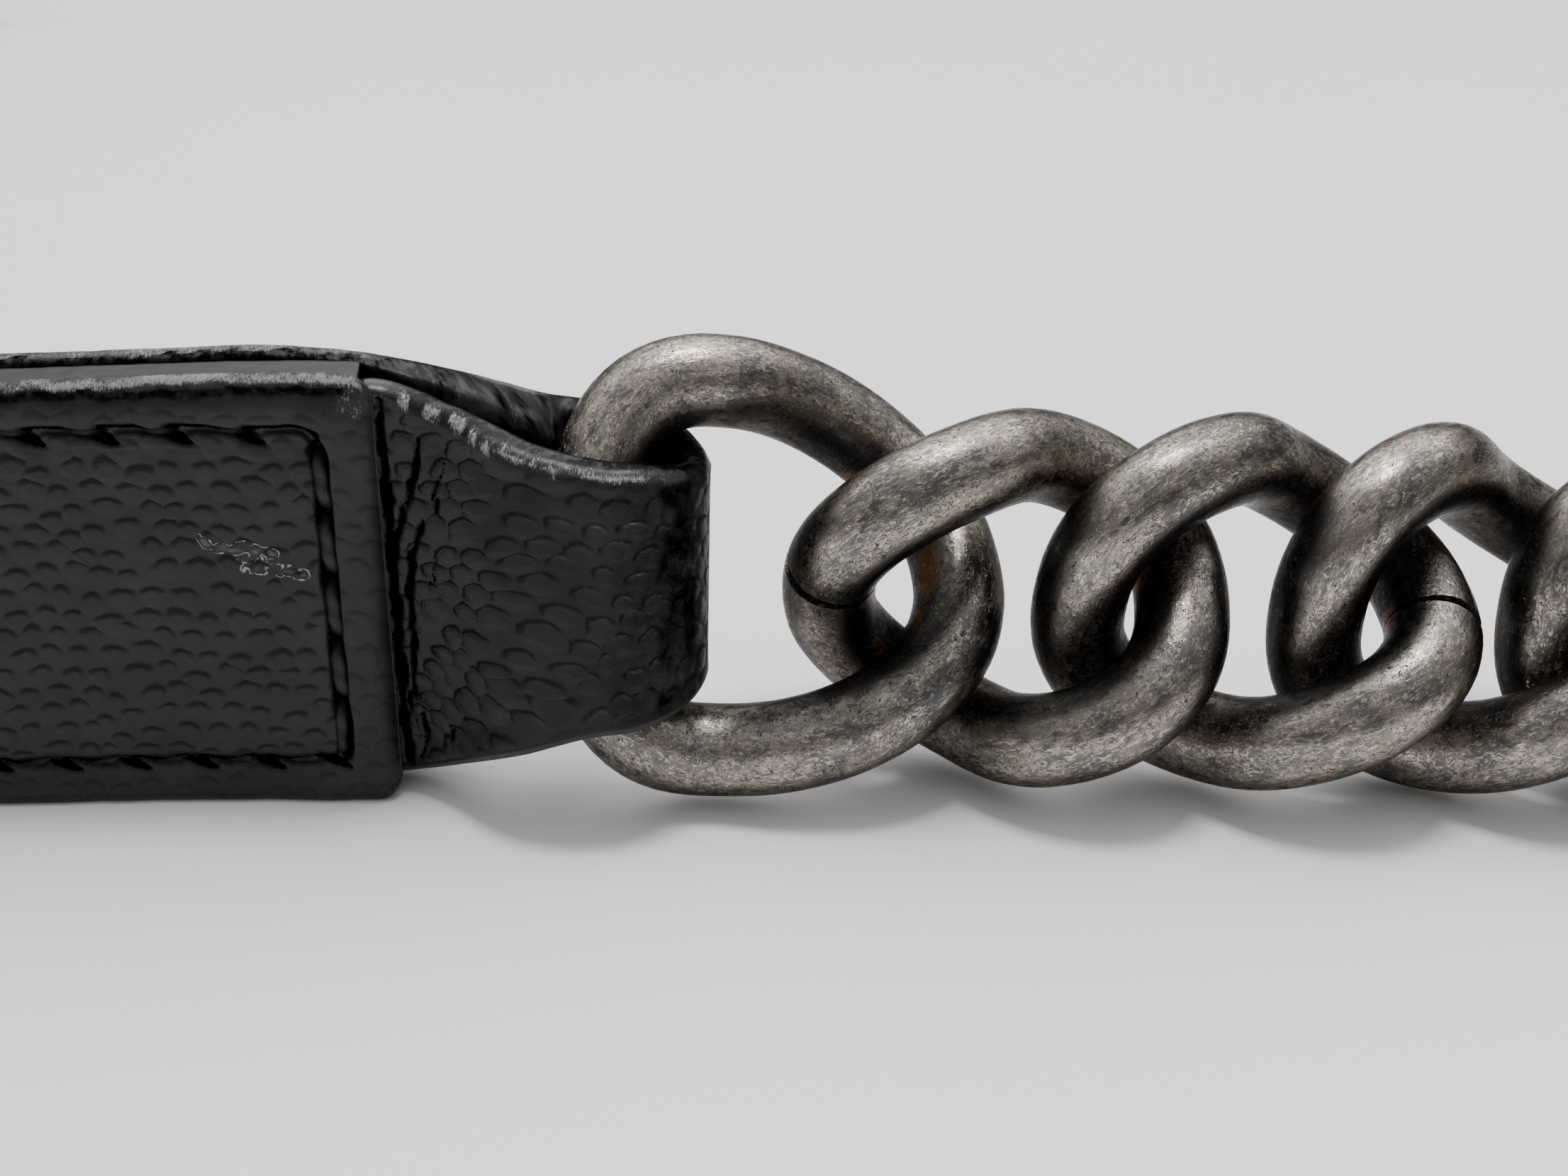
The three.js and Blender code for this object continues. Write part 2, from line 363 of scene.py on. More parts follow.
class StrapLeather(bpy.types.PropertyGroup):
    """Sizes and colours of the leather."""

    rim_puff: FloatProperty(
        name="Rim Puff", description="How far the rim outside the stitching swells",
        default=0.2 * MM, unit="LENGTH", precision=5)
    channel_depth: FloatProperty(
        name="Channel Depth", description="How deep the stitching is sunk",
        default=0.62 * MM, unit="LENGTH", precision=5)
    stitch_pitch: FloatProperty(
        name="Stitch Pitch", description="Distance from one stitch hole to the next",
        default=3.6 * MM, unit="LENGTH", precision=5)
    thread_radius: FloatProperty(
        name="Thread Radius", description="Half the thickness of the thread",
        default=0.42 * MM, unit="LENGTH", precision=5)
    pebble_relief: FloatProperty(
        name="Pebble Relief", description="Height of the grain's pebbles",
        default=0.09 * MM, unit="LENGTH", precision=5)
    black: FloatVectorProperty(
        name="Leather Black", description="Colour of the sound leather",
        default=(0.0118, 0.0119, 0.0121), subtype="COLOR", size=3)
    # The rubbed colour also paints highlights along the ridge, round the turn and on the ribbon's back
    # edge.
    rubbed_and_highlit: FloatVectorProperty(
        name="Rubbed Leather", description="Colour where the edges are rubbed",
        default=(0.265, 0.265, 0.265), subtype="COLOR", size=3)


class StrapMetal(bpy.types.PropertyGroup):
    """Sizes and colours of the links and rings."""

    link_wire: FloatProperty(
        name="Link Wire Radius", description="Half the thickness of a curb link's wire",
        default=2.53 * MM, unit="LENGTH", precision=5)
    end_wire: FloatProperty(
        name="End Link Wire Radius", description="Half the thickness of an end link's wire",
        default=2.51 * MM, unit="LENGTH", precision=5)
    joint_gap: FloatProperty(
        name="Joint Gap", description="Width of the cut where a link's wire meets itself",
        default=0.40 * MM, unit="LENGTH", precision=5)
    dent_depth: FloatProperty(
        name="Dent Depth", description="How uneven the cast and tumbled wire is",
        default=0.05 * MM, unit="LENGTH", precision=5)
    wire_steps: IntProperty(
        name="Wire Steps", description="Steps along the wire of a link", default=104)
    wire_sides: IntProperty(
        name="Wire Sides", description="Sides of the wire of a link", default=30)
    pewter: FloatVectorProperty(
        name="Pewter", description="Colour of the polished metal",
        default=(0.400, 0.347, 0.294), subtype="COLOR", size=3)
    # The tarnish colour also paints shade into the links' crotches and onto their noses.
    tarnish_and_shade: FloatVectorProperty(
        name="Tarnish", description="Colour of the tarnish in the crotches",
        default=(0.014, 0.0142, 0.015), subtype="COLOR", size=3)


class StrapStage(bpy.types.PropertyGroup):
    """The floor, the light and the camera."""

    floor: FloatVectorProperty(
        name="Floor", description="Colour of the floor",
        default=(0.89, 0.89, 0.89), subtype="COLOR", size=3)
    key_power: FloatProperty(
        name="Key Power", description="Power of the soft light overhead, in watts", default=2.3)
    back_power: FloatProperty(
        name="Back Power", description="Power of the light behind, in watts", default=5.0)
    sky: FloatProperty(
        name="Sky", description="Strength of the light from all round", default=1.0)


# ---------------------------------------------------------------------------------------------------
# Materials

# Colours that the finishes mix into the ones a user can set.
DULL_PEWTER = (0.112, 0.106, 0.102)
WARM_PEWTER = (0.25, 0.205, 0.155)
COLD_PEWTER = (0.060, 0.066, 0.075)
BRIGHT_FLAKE = (0.60, 0.55, 0.46)
PIT_BLACK = (0.010, 0.010, 0.011)
RUST = (0.22, 0.095, 0.025)
THREAD_DARK, THREAD_LIGHT = (0.008, 0.008, 0.0085), (0.026, 0.026, 0.0265)
# Painted shade: in creases, above pebbles, under the ridge, round the loop, on the roll and in seams and
# hollows.
PAINTED_SHADE_BLACK = (0.0012, 0.0012, 0.0012)
# Painted shade in cracks, stitch channels and holes.
CRACK_AND_HOLE_SHADE_BLACK = (0.0005, 0.0005, 0.0005)
SCRAPED = (0.30, 0.30, 0.305)

# Dims what a surface mirrors where it turns away from the eye.
DARK_GRAZING = (0.45, 0.45, 0.45, 1)


def pewter_finish(settings):
    """Antiqued pewter: flaked and streaked along the wire, pitted, tarnished where it isn't rubbed, with
    painted shade.
    """
    shader = Shader("antique_pewter")
    wire = shader.scaled(shader.attribute("wire", "Vector"), 1 / MM)
    tarnish_and_shade_mask = shader.attribute("tarnish_and_shade")
    clouds = shader.noise(wire, 0.30, 2.0)
    patches = shader.noise(wire * (0.6, 1.0, 1.0), 1.9, 5.0, 0.66, 0.35)
    flakes = shader.noise(wire * (0.7, 1.3, 1.3), 3.6, 5.0, 0.70, 1.2)

    # Dull and polished patches, warmer and colder ones, and bright flakes.
    calm = shader.rescale(shader.noise(wire, 0.8, 2.0), 0.38, 0.62, 0.16, 0.54)
    grey = clouds * 0.16 + patches * 0.42 + 0.21 + (flakes - 0.5) * calm
    grey = shader.rescale(grey, 0.425, 0.58)
    body = shader.colour(grey, DULL_PEWTER, settings.pewter)
    warm = shader.rescale(shader.noise(wire, 0.5, 2.0), 0.48, 0.70)
    body = shader.colour(warm * 0.30, body, WARM_PEWTER)
    cold = shader.rescale(shader.noise(wire + (40.0, 0.0, 0.0), 0.45, 3.0), 0.52, 0.70)
    body = shader.colour(cold * 0.52, body, COLD_PEWTER)
    bright = shader.rescale(flakes, 0.55, 0.61)
    body = shader.colour(bright * 0.55, body, BRIGHT_FLAKE)

    # Wriggling rows of pits, then tarnish and painted shade with ragged edges, rusty where it is deepest.
    wriggle = shader.noise(wire, 2.1, 4.0, 0.65, 1.8)
    line = shader.rescale(abs(wriggle - 0.5), 0.026, 0.006)
    pits = line * shader.rescale(patches, 0.48, 0.58)
    body = shader.colour(pits * 0.9, body, PIT_BLACK)
    ragged = tarnish_and_shade_mask + (patches - 0.5) * 0.9 + (flakes - 0.5) * 0.6
    deep_tarnish_and_shade = shader.rescale(ragged, 0.22, 0.78)
    body = shader.colour(deep_tarnish_and_shade * 0.91, body, settings.tarnish_and_shade)
    rusty = shader.rescale(tarnish_and_shade_mask, 0.86, 0.98) * shader.rescale(clouds, 0.50, 0.62)
    body = shader.colour(rusty * 0.4, body, RUST)

    rough = shader.mix(grey, 0.29, 0.19) + deep_tarnish_and_shade * 0.08 - bright * 0.15
    return shader.finish({
        "Base Color": body, "Metallic": 1.0, "Roughness": rough, "Specular Tint": DARK_GRAZING,
        "Normal": shader.bump(patches + flakes * 0.6 - pits, 0.028 * MM)})


def thread_finish():
    """Black bonded thread with its ply showing."""
    shader = Shader("black_thread")
    place = shader.scaled(shader.attribute("thread", "Vector"), 1 / MM)
    x, y, z = shader.separate(place)
    ply = shader.math("SINE", x * 5.2 + shader.math("ARCTAN2", z, y))
    shade = shader.rescale(ply * 0.3 + shader.noise(place, 9.0, 2.0), 0.2, 0.9)
    return shader.finish({
        "Base Color": shader.colour(shade, THREAD_DARK, THREAD_LIGHT), "Roughness": 0.55,
        "Specular IOR Level": 0.25, "Normal": shader.bump(ply, 0.04 * MM, 0.6)})


def pebble_relief(tree, grain, creased):
    """The leather's grain, from places in pebbles: the height, and the painted shade above each pebble.

    Pebbles sit in offset rows, so two sets of them interlock, and the nearer one is taken. Where the
    leather is creased, the pebbles lean, grow uneven and crowd together."""
    rows = math.sqrt(3)
    wander = (tree.noise(grain, 0.35, 2.0, output=1) - (0.5, 0.5, 0.5)) * (1.1, 1.1, 0.0)
    moved = grain + wander
    found = []
    for shift in (0.0, 0.5):
        place = moved * (1.0, 1 / rows, 0.0) + (shift, shift, 0.0)
        cell = tree.add("ShaderNodeTexVoronoi", {"Vector": place, "Scale": 1.0, "Randomness": 0.34},
                        feature="F1", voronoi_dimensions="2D").socket.node
        colour, spot = (Value(tree, cell.outputs[name]) for name in ("Color", "Position"))
        away = (place - spot) * (1.0, rows, 0.0)
        size = tree.rescale(tree.separate(colour)[0], 0.0, 1.0, 0.88, 1.14, smooth=False)
        found.append((tree.vector("LENGTH", away, output="Value") * size, tree.separate(away)))
    (first, first_away), (second, second_away) = found
    chosen = tree.math("GREATER_THAN", first, second)
    back, rise = (tree.mix(chosen, first_away[i], second_away[i]) for i in (0, 1))

    by_crease = lambda at_least, at_most: tree.rescale(creased, 0.30, 0.80, at_least, at_most)
    uneven = tree.noise(grain, 3.1, 2.0, 0.6) - 0.5
    distance = tree.math("MINIMUM", first, second) + uneven * by_crease(0.16, 0.30)
    rise = rise - by_crease(0.0, 0.7) * back
    height = tree.rescale(distance, 0.54, 0.16)
    widened = creased * 0.14
    tightened = by_crease(0.0, 0.17)
    arc = (tree.rescale(distance, 0.20 + tightened, 0.36 + tightened * 0.6)
           * tree.rescale(distance, 0.50 + widened, 0.37 + widened))
    above = rise / tree.math("MAXIMUM", distance, 0.05)
    round_to = tightened * -2.2
    return height, arc * tree.rescale(above, round_to, 0.95 + round_to)


def leather_finish(settings):
    """Black pebbled leather, rubbed light along its edges, cracked where it bends, with painted shade and
    highlights.
    """
    shader = Shader("black_leather")
    grain, flat = (shader.attribute(name, "Vector") for name in ("grain", "flat"))
    pebbled, rubbed_and_highlit, crack_and_hole_shade, scuffed, creased, painted_shade, polished = (
        shader.attribute(name) for name in (
            "pebbled", "rubbed_and_highlit", "crack_and_hole_shade", "scuffed", "creased", "painted_shade", "polished"))
    height, shaded_crease = pebble_relief(shader, grain, creased)
    shaded_crease = shaded_crease * pebbled
    fine = shader.noise(flat, 6.0, 3.0, 0.6)
    cloudy = shader.rescale(shader.noise(flat, 0.35, 3.0), 0.35, 0.7)
    body = shader.colour(cloudy, settings.black, [1.5 * part for part in settings.black])
    # Painted shade along the upper edge of each pebble.
    body = shader.colour(shaded_crease * 0.7, body, PAINTED_SHADE_BLACK)

    # Rubbed edges, roughened to short hairs and with painted highlights, and the scuff by the stitching
    # with its torn outline.
    hair = shader.noise(flat * (4.2, 1.5, 1.0), 2.3, 4.0, 0.72, 1.1)
    worn_and_highlit = shader.rescale(rubbed_and_highlit + (hair - 0.5) * 2.6, 0.36, 1.1) * shader.rescale(rubbed_and_highlit, 0.0, 0.25)
    body = shader.colour(worn_and_highlit, body, settings.rubbed_and_highlit)
    torn = scuffed + (shader.noise(flat, 1.5, 2.0, 0.5, 0.6) - 0.5) * 1.1
    outline = shader.rescale(abs(torn - 0.72), 0.050, 0.015)
    flecks = shader.rescale(shader.noise(flat, 2.2, 3.0, 0.6), 0.44, 0.54)
    scraped = outline * flecks * shader.rescale(scuffed, 0.05, 0.3)
    scraped = shader.math("MAXIMUM", scraped, shader.rescale(torn, 0.85, 1.05, 0.0, 0.22))
    body = shader.colour(scraped, body, SCRAPED)

    # Painted shade in cracks and holes, and painted shade that dulls what it covers.
    open_crack_and_hole_shade = shader.rescale(crack_and_hole_shade + (fine - 0.5) * 0.5, 0.42, 0.56)
    body = shader.colour(open_crack_and_hole_shade, body, CRACK_AND_HOLE_SHADE_BLACK)
    patchy = shader.rescale(shader.noise(flat, 1.6, 4.0, 0.65), 0.40, 0.56, 0.45, 1.0)
    shade_dulling = shader.math("MAXIMUM", open_crack_and_hole_shade, shaded_crease * creased)
    shade_dulling = shader.math("MAXIMUM", shade_dulling, painted_shade * patchy)
    body = shader.colour(shader.rescale(painted_shade, 0.62, 0.9), body, PAINTED_SHADE_BLACK)

    rough = 0.40 + fine * 0.16 + shaded_crease * 0.12 + open_crack_and_hole_shade * 0.4 - polished * 0.22
    normal = shader.bump(height * pebbled, settings.pebble_relief)
    normal = shader.bump(fine, 0.016 * MM, 0.6, Normal=normal)
    normal = shader.bump(hair, 0.10 * MM, rubbed_and_highlit * 0.8, Normal=normal)
    return shader.finish({
        "Base Color": body, "Metallic": shade_dulling, "Roughness": rough, "Specular IOR Level": 0.60,
        "Specular Tint": DARK_GRAZING, "Normal": normal})


def floor_finish(settings):
    """A pale matt table top."""
    shader = Shader("pale_floor")
    place = shader.add("ShaderNodeTexCoord", output="Object")
    tone = shader.rescale(shader.noise(place, 9.0, 3.0), 0.3, 0.7)
    body = shader.colour(tone, settings.floor, [0.985 * part for part in settings.floor])
    normal = shader.bump(shader.noise(place, 900.0, 2.0), 0.01 * MM, 0.3)
    return shader.finish({"Base Color": body, "Roughness": 0.55, "Normal": normal})


# ---------------------------------------------------------------------------------------------------
# The metal

# A link is a rounded oval, twisted out of its plane, whose near half may differ from its far one. The
# joint is where its wire meets itself, as an angle in radians; twists are in degrees.
CURB = {"Reach": 9.48, "Near Reach": 9.48, "Half Width": 7.69, "Roundness": 2.465,
        "Near Roundness": 2.465, "Far Twist": 45.3, "Near Twist": 45.3, "Twist Power": 0.627,
        "Joint Turn": 0.215}
EGG = {"Reach": 13.52, "Near Reach": 6.80, "Half Width": 9.95, "Roundness": 2.27,
       "Near Roundness": 2.67, "Far Twist": 34.6, "Near Twist": 0.0, "Twist Power": 1.0,
       "Joint Turn": math.pi}
LENGTHS = ("Reach", "Near Reach", "Half Width")

# How each end link hangs in its loop, in degrees, and the flat ring at the end of each chain.
END_TURN = {"right": {"yaw": 10.9, "roll": -24.6, "pitch": 6.1, "heading": 0.0},
            "left": {"yaw": -9.0, "roll": 25.0, "pitch": 3.0, "heading": 90.0}}
RING = {"Outer": 11.8, "Inner": 8.6, "Thickness": 2.8, "Edge": 0.55}


def centre_of(node):
    low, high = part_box(node)
    return (low + high) / 2


def solid_turn(node, towards, upward=1):
    """How a link or ring lies: its long axis, which points the given way, and its thin one."""
    corners = {tuple(round(c, 7) for c in v.co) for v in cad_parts[node].data.vertices}
    points = np.array(sorted(corners))
    spread = points - (points.min(0) + points.max(0)) / 2
    axes = np.linalg.eigh(spread.T @ spread)[1]
    long_axis, thin_axis = Vector(axes[:, 2]), Vector(axes[:, 0])
    if long_axis.dot(towards) < 0:
        long_axis.negate()
    wide_axis = long_axis.cross(thin_axis)
    if wide_axis.z * upward < 0:
        thin_axis, wide_axis = -thin_axis, -wide_axis
    return Matrix((long_axis, thin_axis, wide_axis)).transposed()


def wire_tree():
    """Round wire bent into a twisted link, once at each point, open by a thin cut at its far end."""
    shape = Shape("bent_wire_link")
    size = {name: shape.size(name, 1.0) for name in CURB}
    radius = shape.size("Wire Radius", 2.5 * MM)
    gap = shape.size("Joint Gap", 0.1 * MM)
    dent = shape.size("Dent Depth", 0.0)
    steps = shape.size("Steps", 96, "Int")
    sides = shape.size("Sides", 24, "Int")
    material = shape.size("Material", kind="Material")

    # The middle of the wire: an oval whose near and far halves differ, twisted along its length.
    line = shape.add("GeometryNodeCurvePrimitiveLine", {"End": (1.0, 0.0, 0.0)})
    line = shape.resample(line, 320)
    half_cut = gap / (size["Half Width"] * 2.0)
    share = shape.add("GeometryNodeSplineParameter")
    turn = shape.mix(share, half_cut, 2 * math.pi - half_cut) + size["Joint Turn"]
    cos, sin = shape.math("COSINE", turn), shape.math("SINE", turn)
    far = shape.math("GREATER_THAN", cos, 0.0)
    power = 2.0 / shape.mix(far, size["Near Roundness"], size["Roundness"])
    rounded = lambda part: shape.math("SIGN", part) * shape.math("POWER", abs(part), power)
    x = shape.mix(far, size["Near Reach"], size["Reach"]) * rounded(cos)
    across = size["Half Width"] * rounded(sin)
    out = x / size["Reach"]
    most = shape.mix(shape.rescale(out, -0.3, 0.3), size["Near Twist"], size["Far Twist"])
    slowed = shape.math("POWER", out * out + 0.03, (size["Twist Power"] - 1.0) * 0.5)
    twist = shape.math("RADIANS", most * out * slowed)
    axis = shape.combine(x, across * shape.math("SINE", twist), across * shape.math("COSINE", twist))
    wire = shape.resample(shape.move(line, Position=axis), steps)
    wire = shape.store(wire, "centre", shape.position())
    wire = shape.store(wire, "along", shape.add("GeometryNodeSplineParameter", output="Length"))
    tube = shape.sweep(wire, shape.circle(sides, radius), caps=True)

    # Tarnish and painted shade in the crotches, which face the link's centre, and painted shade on its two
    # noses.
    centre = shape.named("centre", "FLOAT_VECTOR")
    outward = shape.vector("NORMALIZE", shape.position() - centre)
    inward = shape.vector("NORMALIZE", shape.scaled(centre, -1.0))
    facing = shape.vector("DOT_PRODUCT", outward, inward, output="Value")
    centre_x = shape.separate(centre)[0]
    nearness = abs(centre_x) / size["Reach"]
    crotch = shape.rescale(facing, -0.28, 0.85) * shape.rescale(nearness, 0.1, 0.9, 0.62, 1.0)
    ahead = shape.separate(outward)[0] * shape.math("SIGN", centre_x)
    nose_shade = shape.rescale(ahead, 0.2, 0.95) * shape.rescale(nearness, 0.45, 0.95)
    tube = shape.store(tube, "tarnish_and_shade", shape.math("MAXIMUM", crotch, nose_shade * 0.76))

    # Each copy gets its own stretch of the finish, and dents in the same places as its patches.
    real = shape.realize(shape.copies(tube))
    place = shape.section_place()
    run = shape.named("along") + shape.named("number") * 0.1
    real = shape.store(real, "wire", shape.combine(run, place[0], place[1]))
    lumps = shape.noise(shape.named("wire", "FLOAT_VECTOR"), 0.33 / MM, 2.0)
    push = (lumps - 0.5) * (dent * 2.0)
    real = shape.move(real, Offset=shape.scaled(shape.add("GeometryNodeInputNormal"), push))
    return shape.close(real, material)


def placed_points(places, turns, numbers):
    """A mesh of loose points, one where each copy goes, with how it turns."""
    mesh = bpy.data.meshes.new("places")
    mesh.from_pydata(places, [], [])
    keep(mesh, {"turn": np.array([matrix.to_euler("XYZ") for matrix in turns]),
                "number": np.array(numbers, float)[:, None]})
    return mesh


def lift_clear(piece, count):
    """Raises each of the piece's like parts until it only touches the floor."""
    corners = np.empty(len(piece.data.vertices) * 3)
    piece.data.vertices.foreach_get("co", corners)
    parts = corners.reshape(count, -1, 3)
    parts[..., 2] += np.maximum(0, METAL_CLEAR * MM - parts[..., 2].min(1))[:, None]
    piece.data.vertices.foreach_set("co", corners)
    piece.data.update()


def wire_links(name, form, radius, points):
    """Links of one form, one at each point."""
    settings = bpy.context.scene.strap_metal
    tree = bpy.data.node_groups.get("bent_wire_link") or wire_tree()
    return grow(name, points, tree, {
        **{key: value * MM if key in LENGTHS else value for key, value in form.items()},
        "Wire Radius": radius, "Joint Gap": settings.joint_gap, "Dent Depth": settings.dent_depth,
        "Steps": settings.wire_steps, "Sides": settings.wire_sides,
        "Material": bpy.data.materials["antique_pewter"]})


class STRAP_OT_chains(bpy.types.Operator):
    """Make both curb chains, each link where its solid lies"""

    bl_idname = "strap.chains"
    bl_label = "Curb Chains"

    def execute(self, context):
        for side in SIDES:
            nodes = [f"chain_link_{side}_{i:02d}" for i in range(1, LINKS + 1)]
            centres = [centre_of(node) for node in (f"end_link_{side}", *nodes, f"end_ring_{side}")]

            # Every cut is at the end away from the leather and low, but the first link's faces it.
            ways = [ahead - behind for behind, ahead in zip(centres, centres[2:])]
            ways[0] = -ways[0]
            upward = [1] + [-1] * (LINKS - 1)
            turns = [solid_turn(*item) for item in zip(nodes, ways, upward)]
            points = placed_points(centres[1:-1], turns, range(LINKS))
            chain = wire_links(f"{side}_chain", CURB, context.scene.strap_metal.link_wire, points)
            lift_clear(chain, LINKS)
            dress(chain, "pewter", *nodes)
        return {"FINISHED"}


class STRAP_OT_end_links(bpy.types.Operator):
    """Make the egg-shaped link at each end of the leather"""

    bl_idname = "strap.end_links"
    bl_label = "End Links"

    def execute(self, context):
        for number, side in enumerate(SIDES):
            node = f"end_link_{side}"
            angle = {key: math.radians(value) for key, value in END_TURN[side].items()}
            turn = (Matrix.Rotation(angle["heading"], 3, "Z")
                    @ Euler([angle[key] for key in ("roll", "pitch", "yaw")], "XYZ").to_matrix())
            points = placed_points([centre_of(node)], [turn], [40 + number])
            link = wire_links(f"{side}_end_link", EGG, context.scene.strap_metal.end_wire, points)
            corners = np.array([v.co for v in link.data.vertices])
            centre = Vector((corners.min(0) + corners.max(0)) / 2)
            link.data.transform(Matrix.Translation(centre_of(node) - centre))
            lift_clear(link, 1)
            dress(link, "pewter", node)
        return {"FINISHED"}


def ring_tree():
    """A flat ring of a rounded rectangle's section, once at each point."""
    shape = Shape("flat_end_ring")
    size = {name: shape.size(name, 1.0) for name in RING}
    material = shape.size("Material", kind="Material")
    path = shape.circle(128, (size["Outer"] + size["Inner"]) * 0.5)
    path = shape.store(path, "along", shape.add("GeometryNodeSplineParameter", output="Length"))
    band = shape.add("GeometryNodeCurvePrimitiveQuadrilateral", {
        "Width": size["Outer"] - size["Inner"], "Height": size["Thickness"]})
    band = shape.add("GeometryNodeFilletCurve", {"Curve": band, "Radius": size["Edge"], "Count": 5},
                     mode="POLY")
    ring = shape.sweep(path, shape.resample(band, 40))
    x, y, _ = shape.separate(shape.position())
    ring = shape.store(ring, "wire", shape.combine(x, y, shape.section_place()[1]))
    return shape.close(shape.copies(ring), material)


class STRAP_OT_end_rings(bpy.types.Operator):
    """Make the flat ring at the free end of each chain"""

    bl_idname = "strap.end_rings"
    bl_label = "End Rings"

    def execute(self, context):
        tree = ring_tree()
        sizes = {name: value * MM for name, value in RING.items()}
        sizes["Material"] = bpy.data.materials["antique_pewter"]
        for number, side in enumerate(SIDES):
            node = f"end_ring_{side}"
            lie = solid_turn(node, Vector((1, 0, 0)))
            upright = Matrix((lie.col[0], lie.col[2], -lie.col[1])).transposed()
            points = placed_points([centre_of(node)], [upright], [number])
            dress(grow(f"{side}_end_ring", points, tree, sizes), "pewter", node)
        return {"FINISHED"}


# ---------------------------------------------------------------------------------------------------
# The leather

# The cover: its front and back, the pocket that its skived ends leave for the tucked ribbon, the lip
# over that pocket, and the rounding of its top, its foot, its back edge and its corners.
COVER = {"front": -5.0, "back": -1.8, "skived": -3.9, "skive_end": 37.0, "end": 20.6, "lip": 0.55,
         "round": 1.0, "foot": 0.45, "edge": 0.2, "corner": 1.3}

# The cover's relief beyond what a user sets: its crown, its slow unevenness, the slope of its top, and
# the holes. A hole in a level row is a slit that leans.
CROWN, UNEVENNESS, TOP_SLOPE = 0.12, 0.07, 0.35
HOLE_DEPTH, HOLE_RADIUS, HOLE_SAG = 0.8, 0.36, 0.08
SLIT_LEAN, SLIT_LONG, SLIT_SLIM = (0.93, 0.37), 0.46, 1.75

# The stitching's rectangle: its rows, how far its ends are from the route's, its corners, and how much
# of the top edge's dip its upper row follows.
LOW_ROW, HIGH_ROW = 2.35, 20.9
ROW_END, ROW_CORNER = 23.35, 1.1
DIP_FOLLOWED = 0.2

# The ribbon at one end, as the distance from the end, place across, lower and upper edge, and lean.
RIBBON_TO_LOOP = (
    (36.0, -2.8, 1.0, 22.8, 0.00), (30.0, -2.8, 1.0, 22.8, 0.00), (24.5, -2.8, 1.0, 22.8, 0.00),
    (22.4, -2.82, 0.98, 23.0, 0.00), (20.9, -2.86, 0.95, 23.35, 0.00), (19.4, -2.97, 1.3, 22.95, 0.02),
    (17.3, -3.3, 2.3, 21.75, 0.12), (13.0, -5.0, 4.9, 19.7, 0.38),
)
RIBBON_FROM_LOOP = (
    (13.0, 2.6, 5.0, 19.9, 0.38), (17.3, 0.8, 2.2, 22.3, 0.12), (21.5, -0.3, 0.5, 23.9, 0.00),
    (26.0, -0.7, 0.0, 24.35, 0.00), (30.0, -0.7, 0.0, 24.35, 0.00),
)
LOOP = {"s": 9.1, "n": -1.2, "radius": 4.3, "lean": 0.46, "front": (6.3, 19.0), "tip": (6.9, 17.9),
        "back": (6.4, 19.1)}
RIBBON_THICKNESS = 1.6
RIBBON_ROUND = 0.72
BEAD, GROOVE, CRACK_DEPTH = 0.22, 0.10, 0.55

# Behind the tab, the ribbon's top edge rolls over towards its back: places from the end of the route,
# how far it rolls at each, and the creases across the roll.
ROLL_RADIUS = 1.35
ROLL_PLACES = (12.0, 13.2, 15.0, 17.3, 19.5, 21.0, 22.5)
ROLL_DEPTHS = (0, 3.2, 3.85, 2.2, 1.1, 0.35, 0)
ROLL_CREASES = (20.6, 18.7, 17.6, 16.1, 14.9, 13.6)

# Cracks beside the cover's end, as places from the end of the route and heights, and how wide.
CRACKS = (
    (((20.25, 22.6), (20.32, 12.0), (20.2, 1.0)), 0.30),
    (((18.6, 20.4), (18.8, 18.5), (19.4, 16.6), (20.2, 14.6)), 0.20),
    (((18.5, 16.0), (19.1, 14.0), (19.6, 12.0), (19.4, 8.5), (19.8, 5.4)), 0.20),
    (((17.2, 19.2), (17.7, 17.6), (17.8, 16.4)), 0.12),
    (((17.9, 13.6), (18.4, 12.4)), 0.12),
    (((19.3, 4.8), (19.1, 3.4), (19.4, 2.2)), 0.14),
    (((17.5, 4.4), (17.4, 3.4)), 0.12),
)

# The two lines that the scuff by the stitching follows, in the same way.
SCUFF = ((33.4, 16.3), (32.3, 16.1), (29.8, 15.5), (28.7, 14.9), (27.4, 14.9), (26.0, 14.7))
SCUFF_END = ((27.6, 14.1), (26.0, 13.9), (24.6, 13.5))


def ripple(a, b, seed):
    """Smooth noise between -1 and 1 over a pair of coordinates, the same on every run."""
    grid = np.random.default_rng(seed).uniform(-1, 1, (64, 64))
    i, j = np.floor(a).astype(int), np.floor(b).astype(int)
    u, v = ease(a - i, 0, 1), ease(b - j, 0, 1)
    row = lambda dj: grid[i % 64, (j + dj) % 64] * (1 - u) + grid[(i + 1) % 64, (j + dj) % 64] * u
    return row(0) * (1 - v) + row(1) * v


def line_distance(s, z, corners):
    """The distance of each place from a chain of straight pieces."""
    best = np.full(np.broadcast(s, z).shape, np.inf)
    for (s0, z0), (s1, z1) in zip(corners, corners[1:]):
        run_s, run_z = s1 - s0, z1 - z0
        share = np.clip(((s - s0) * run_s + (z - z0) * run_z) / (run_s ** 2 + run_z ** 2), 0, 1)
        best = np.minimum(best, np.hypot(s - s0 - share * run_s, z - z0 - share * run_z))
    return best


def travelled(points):
    """How far along a run of points each one is."""
    return np.concatenate([[0], np.cumsum(np.hypot(*np.diff(points, axis=0).T))])


def round_length(n, z):
    """How far round its section each place of a skin is."""
    steps = (np.diff(part, axis=1, prepend=part[:, :1]) for part in (n, z))
    return np.cumsum(np.hypot(*steps), 1)


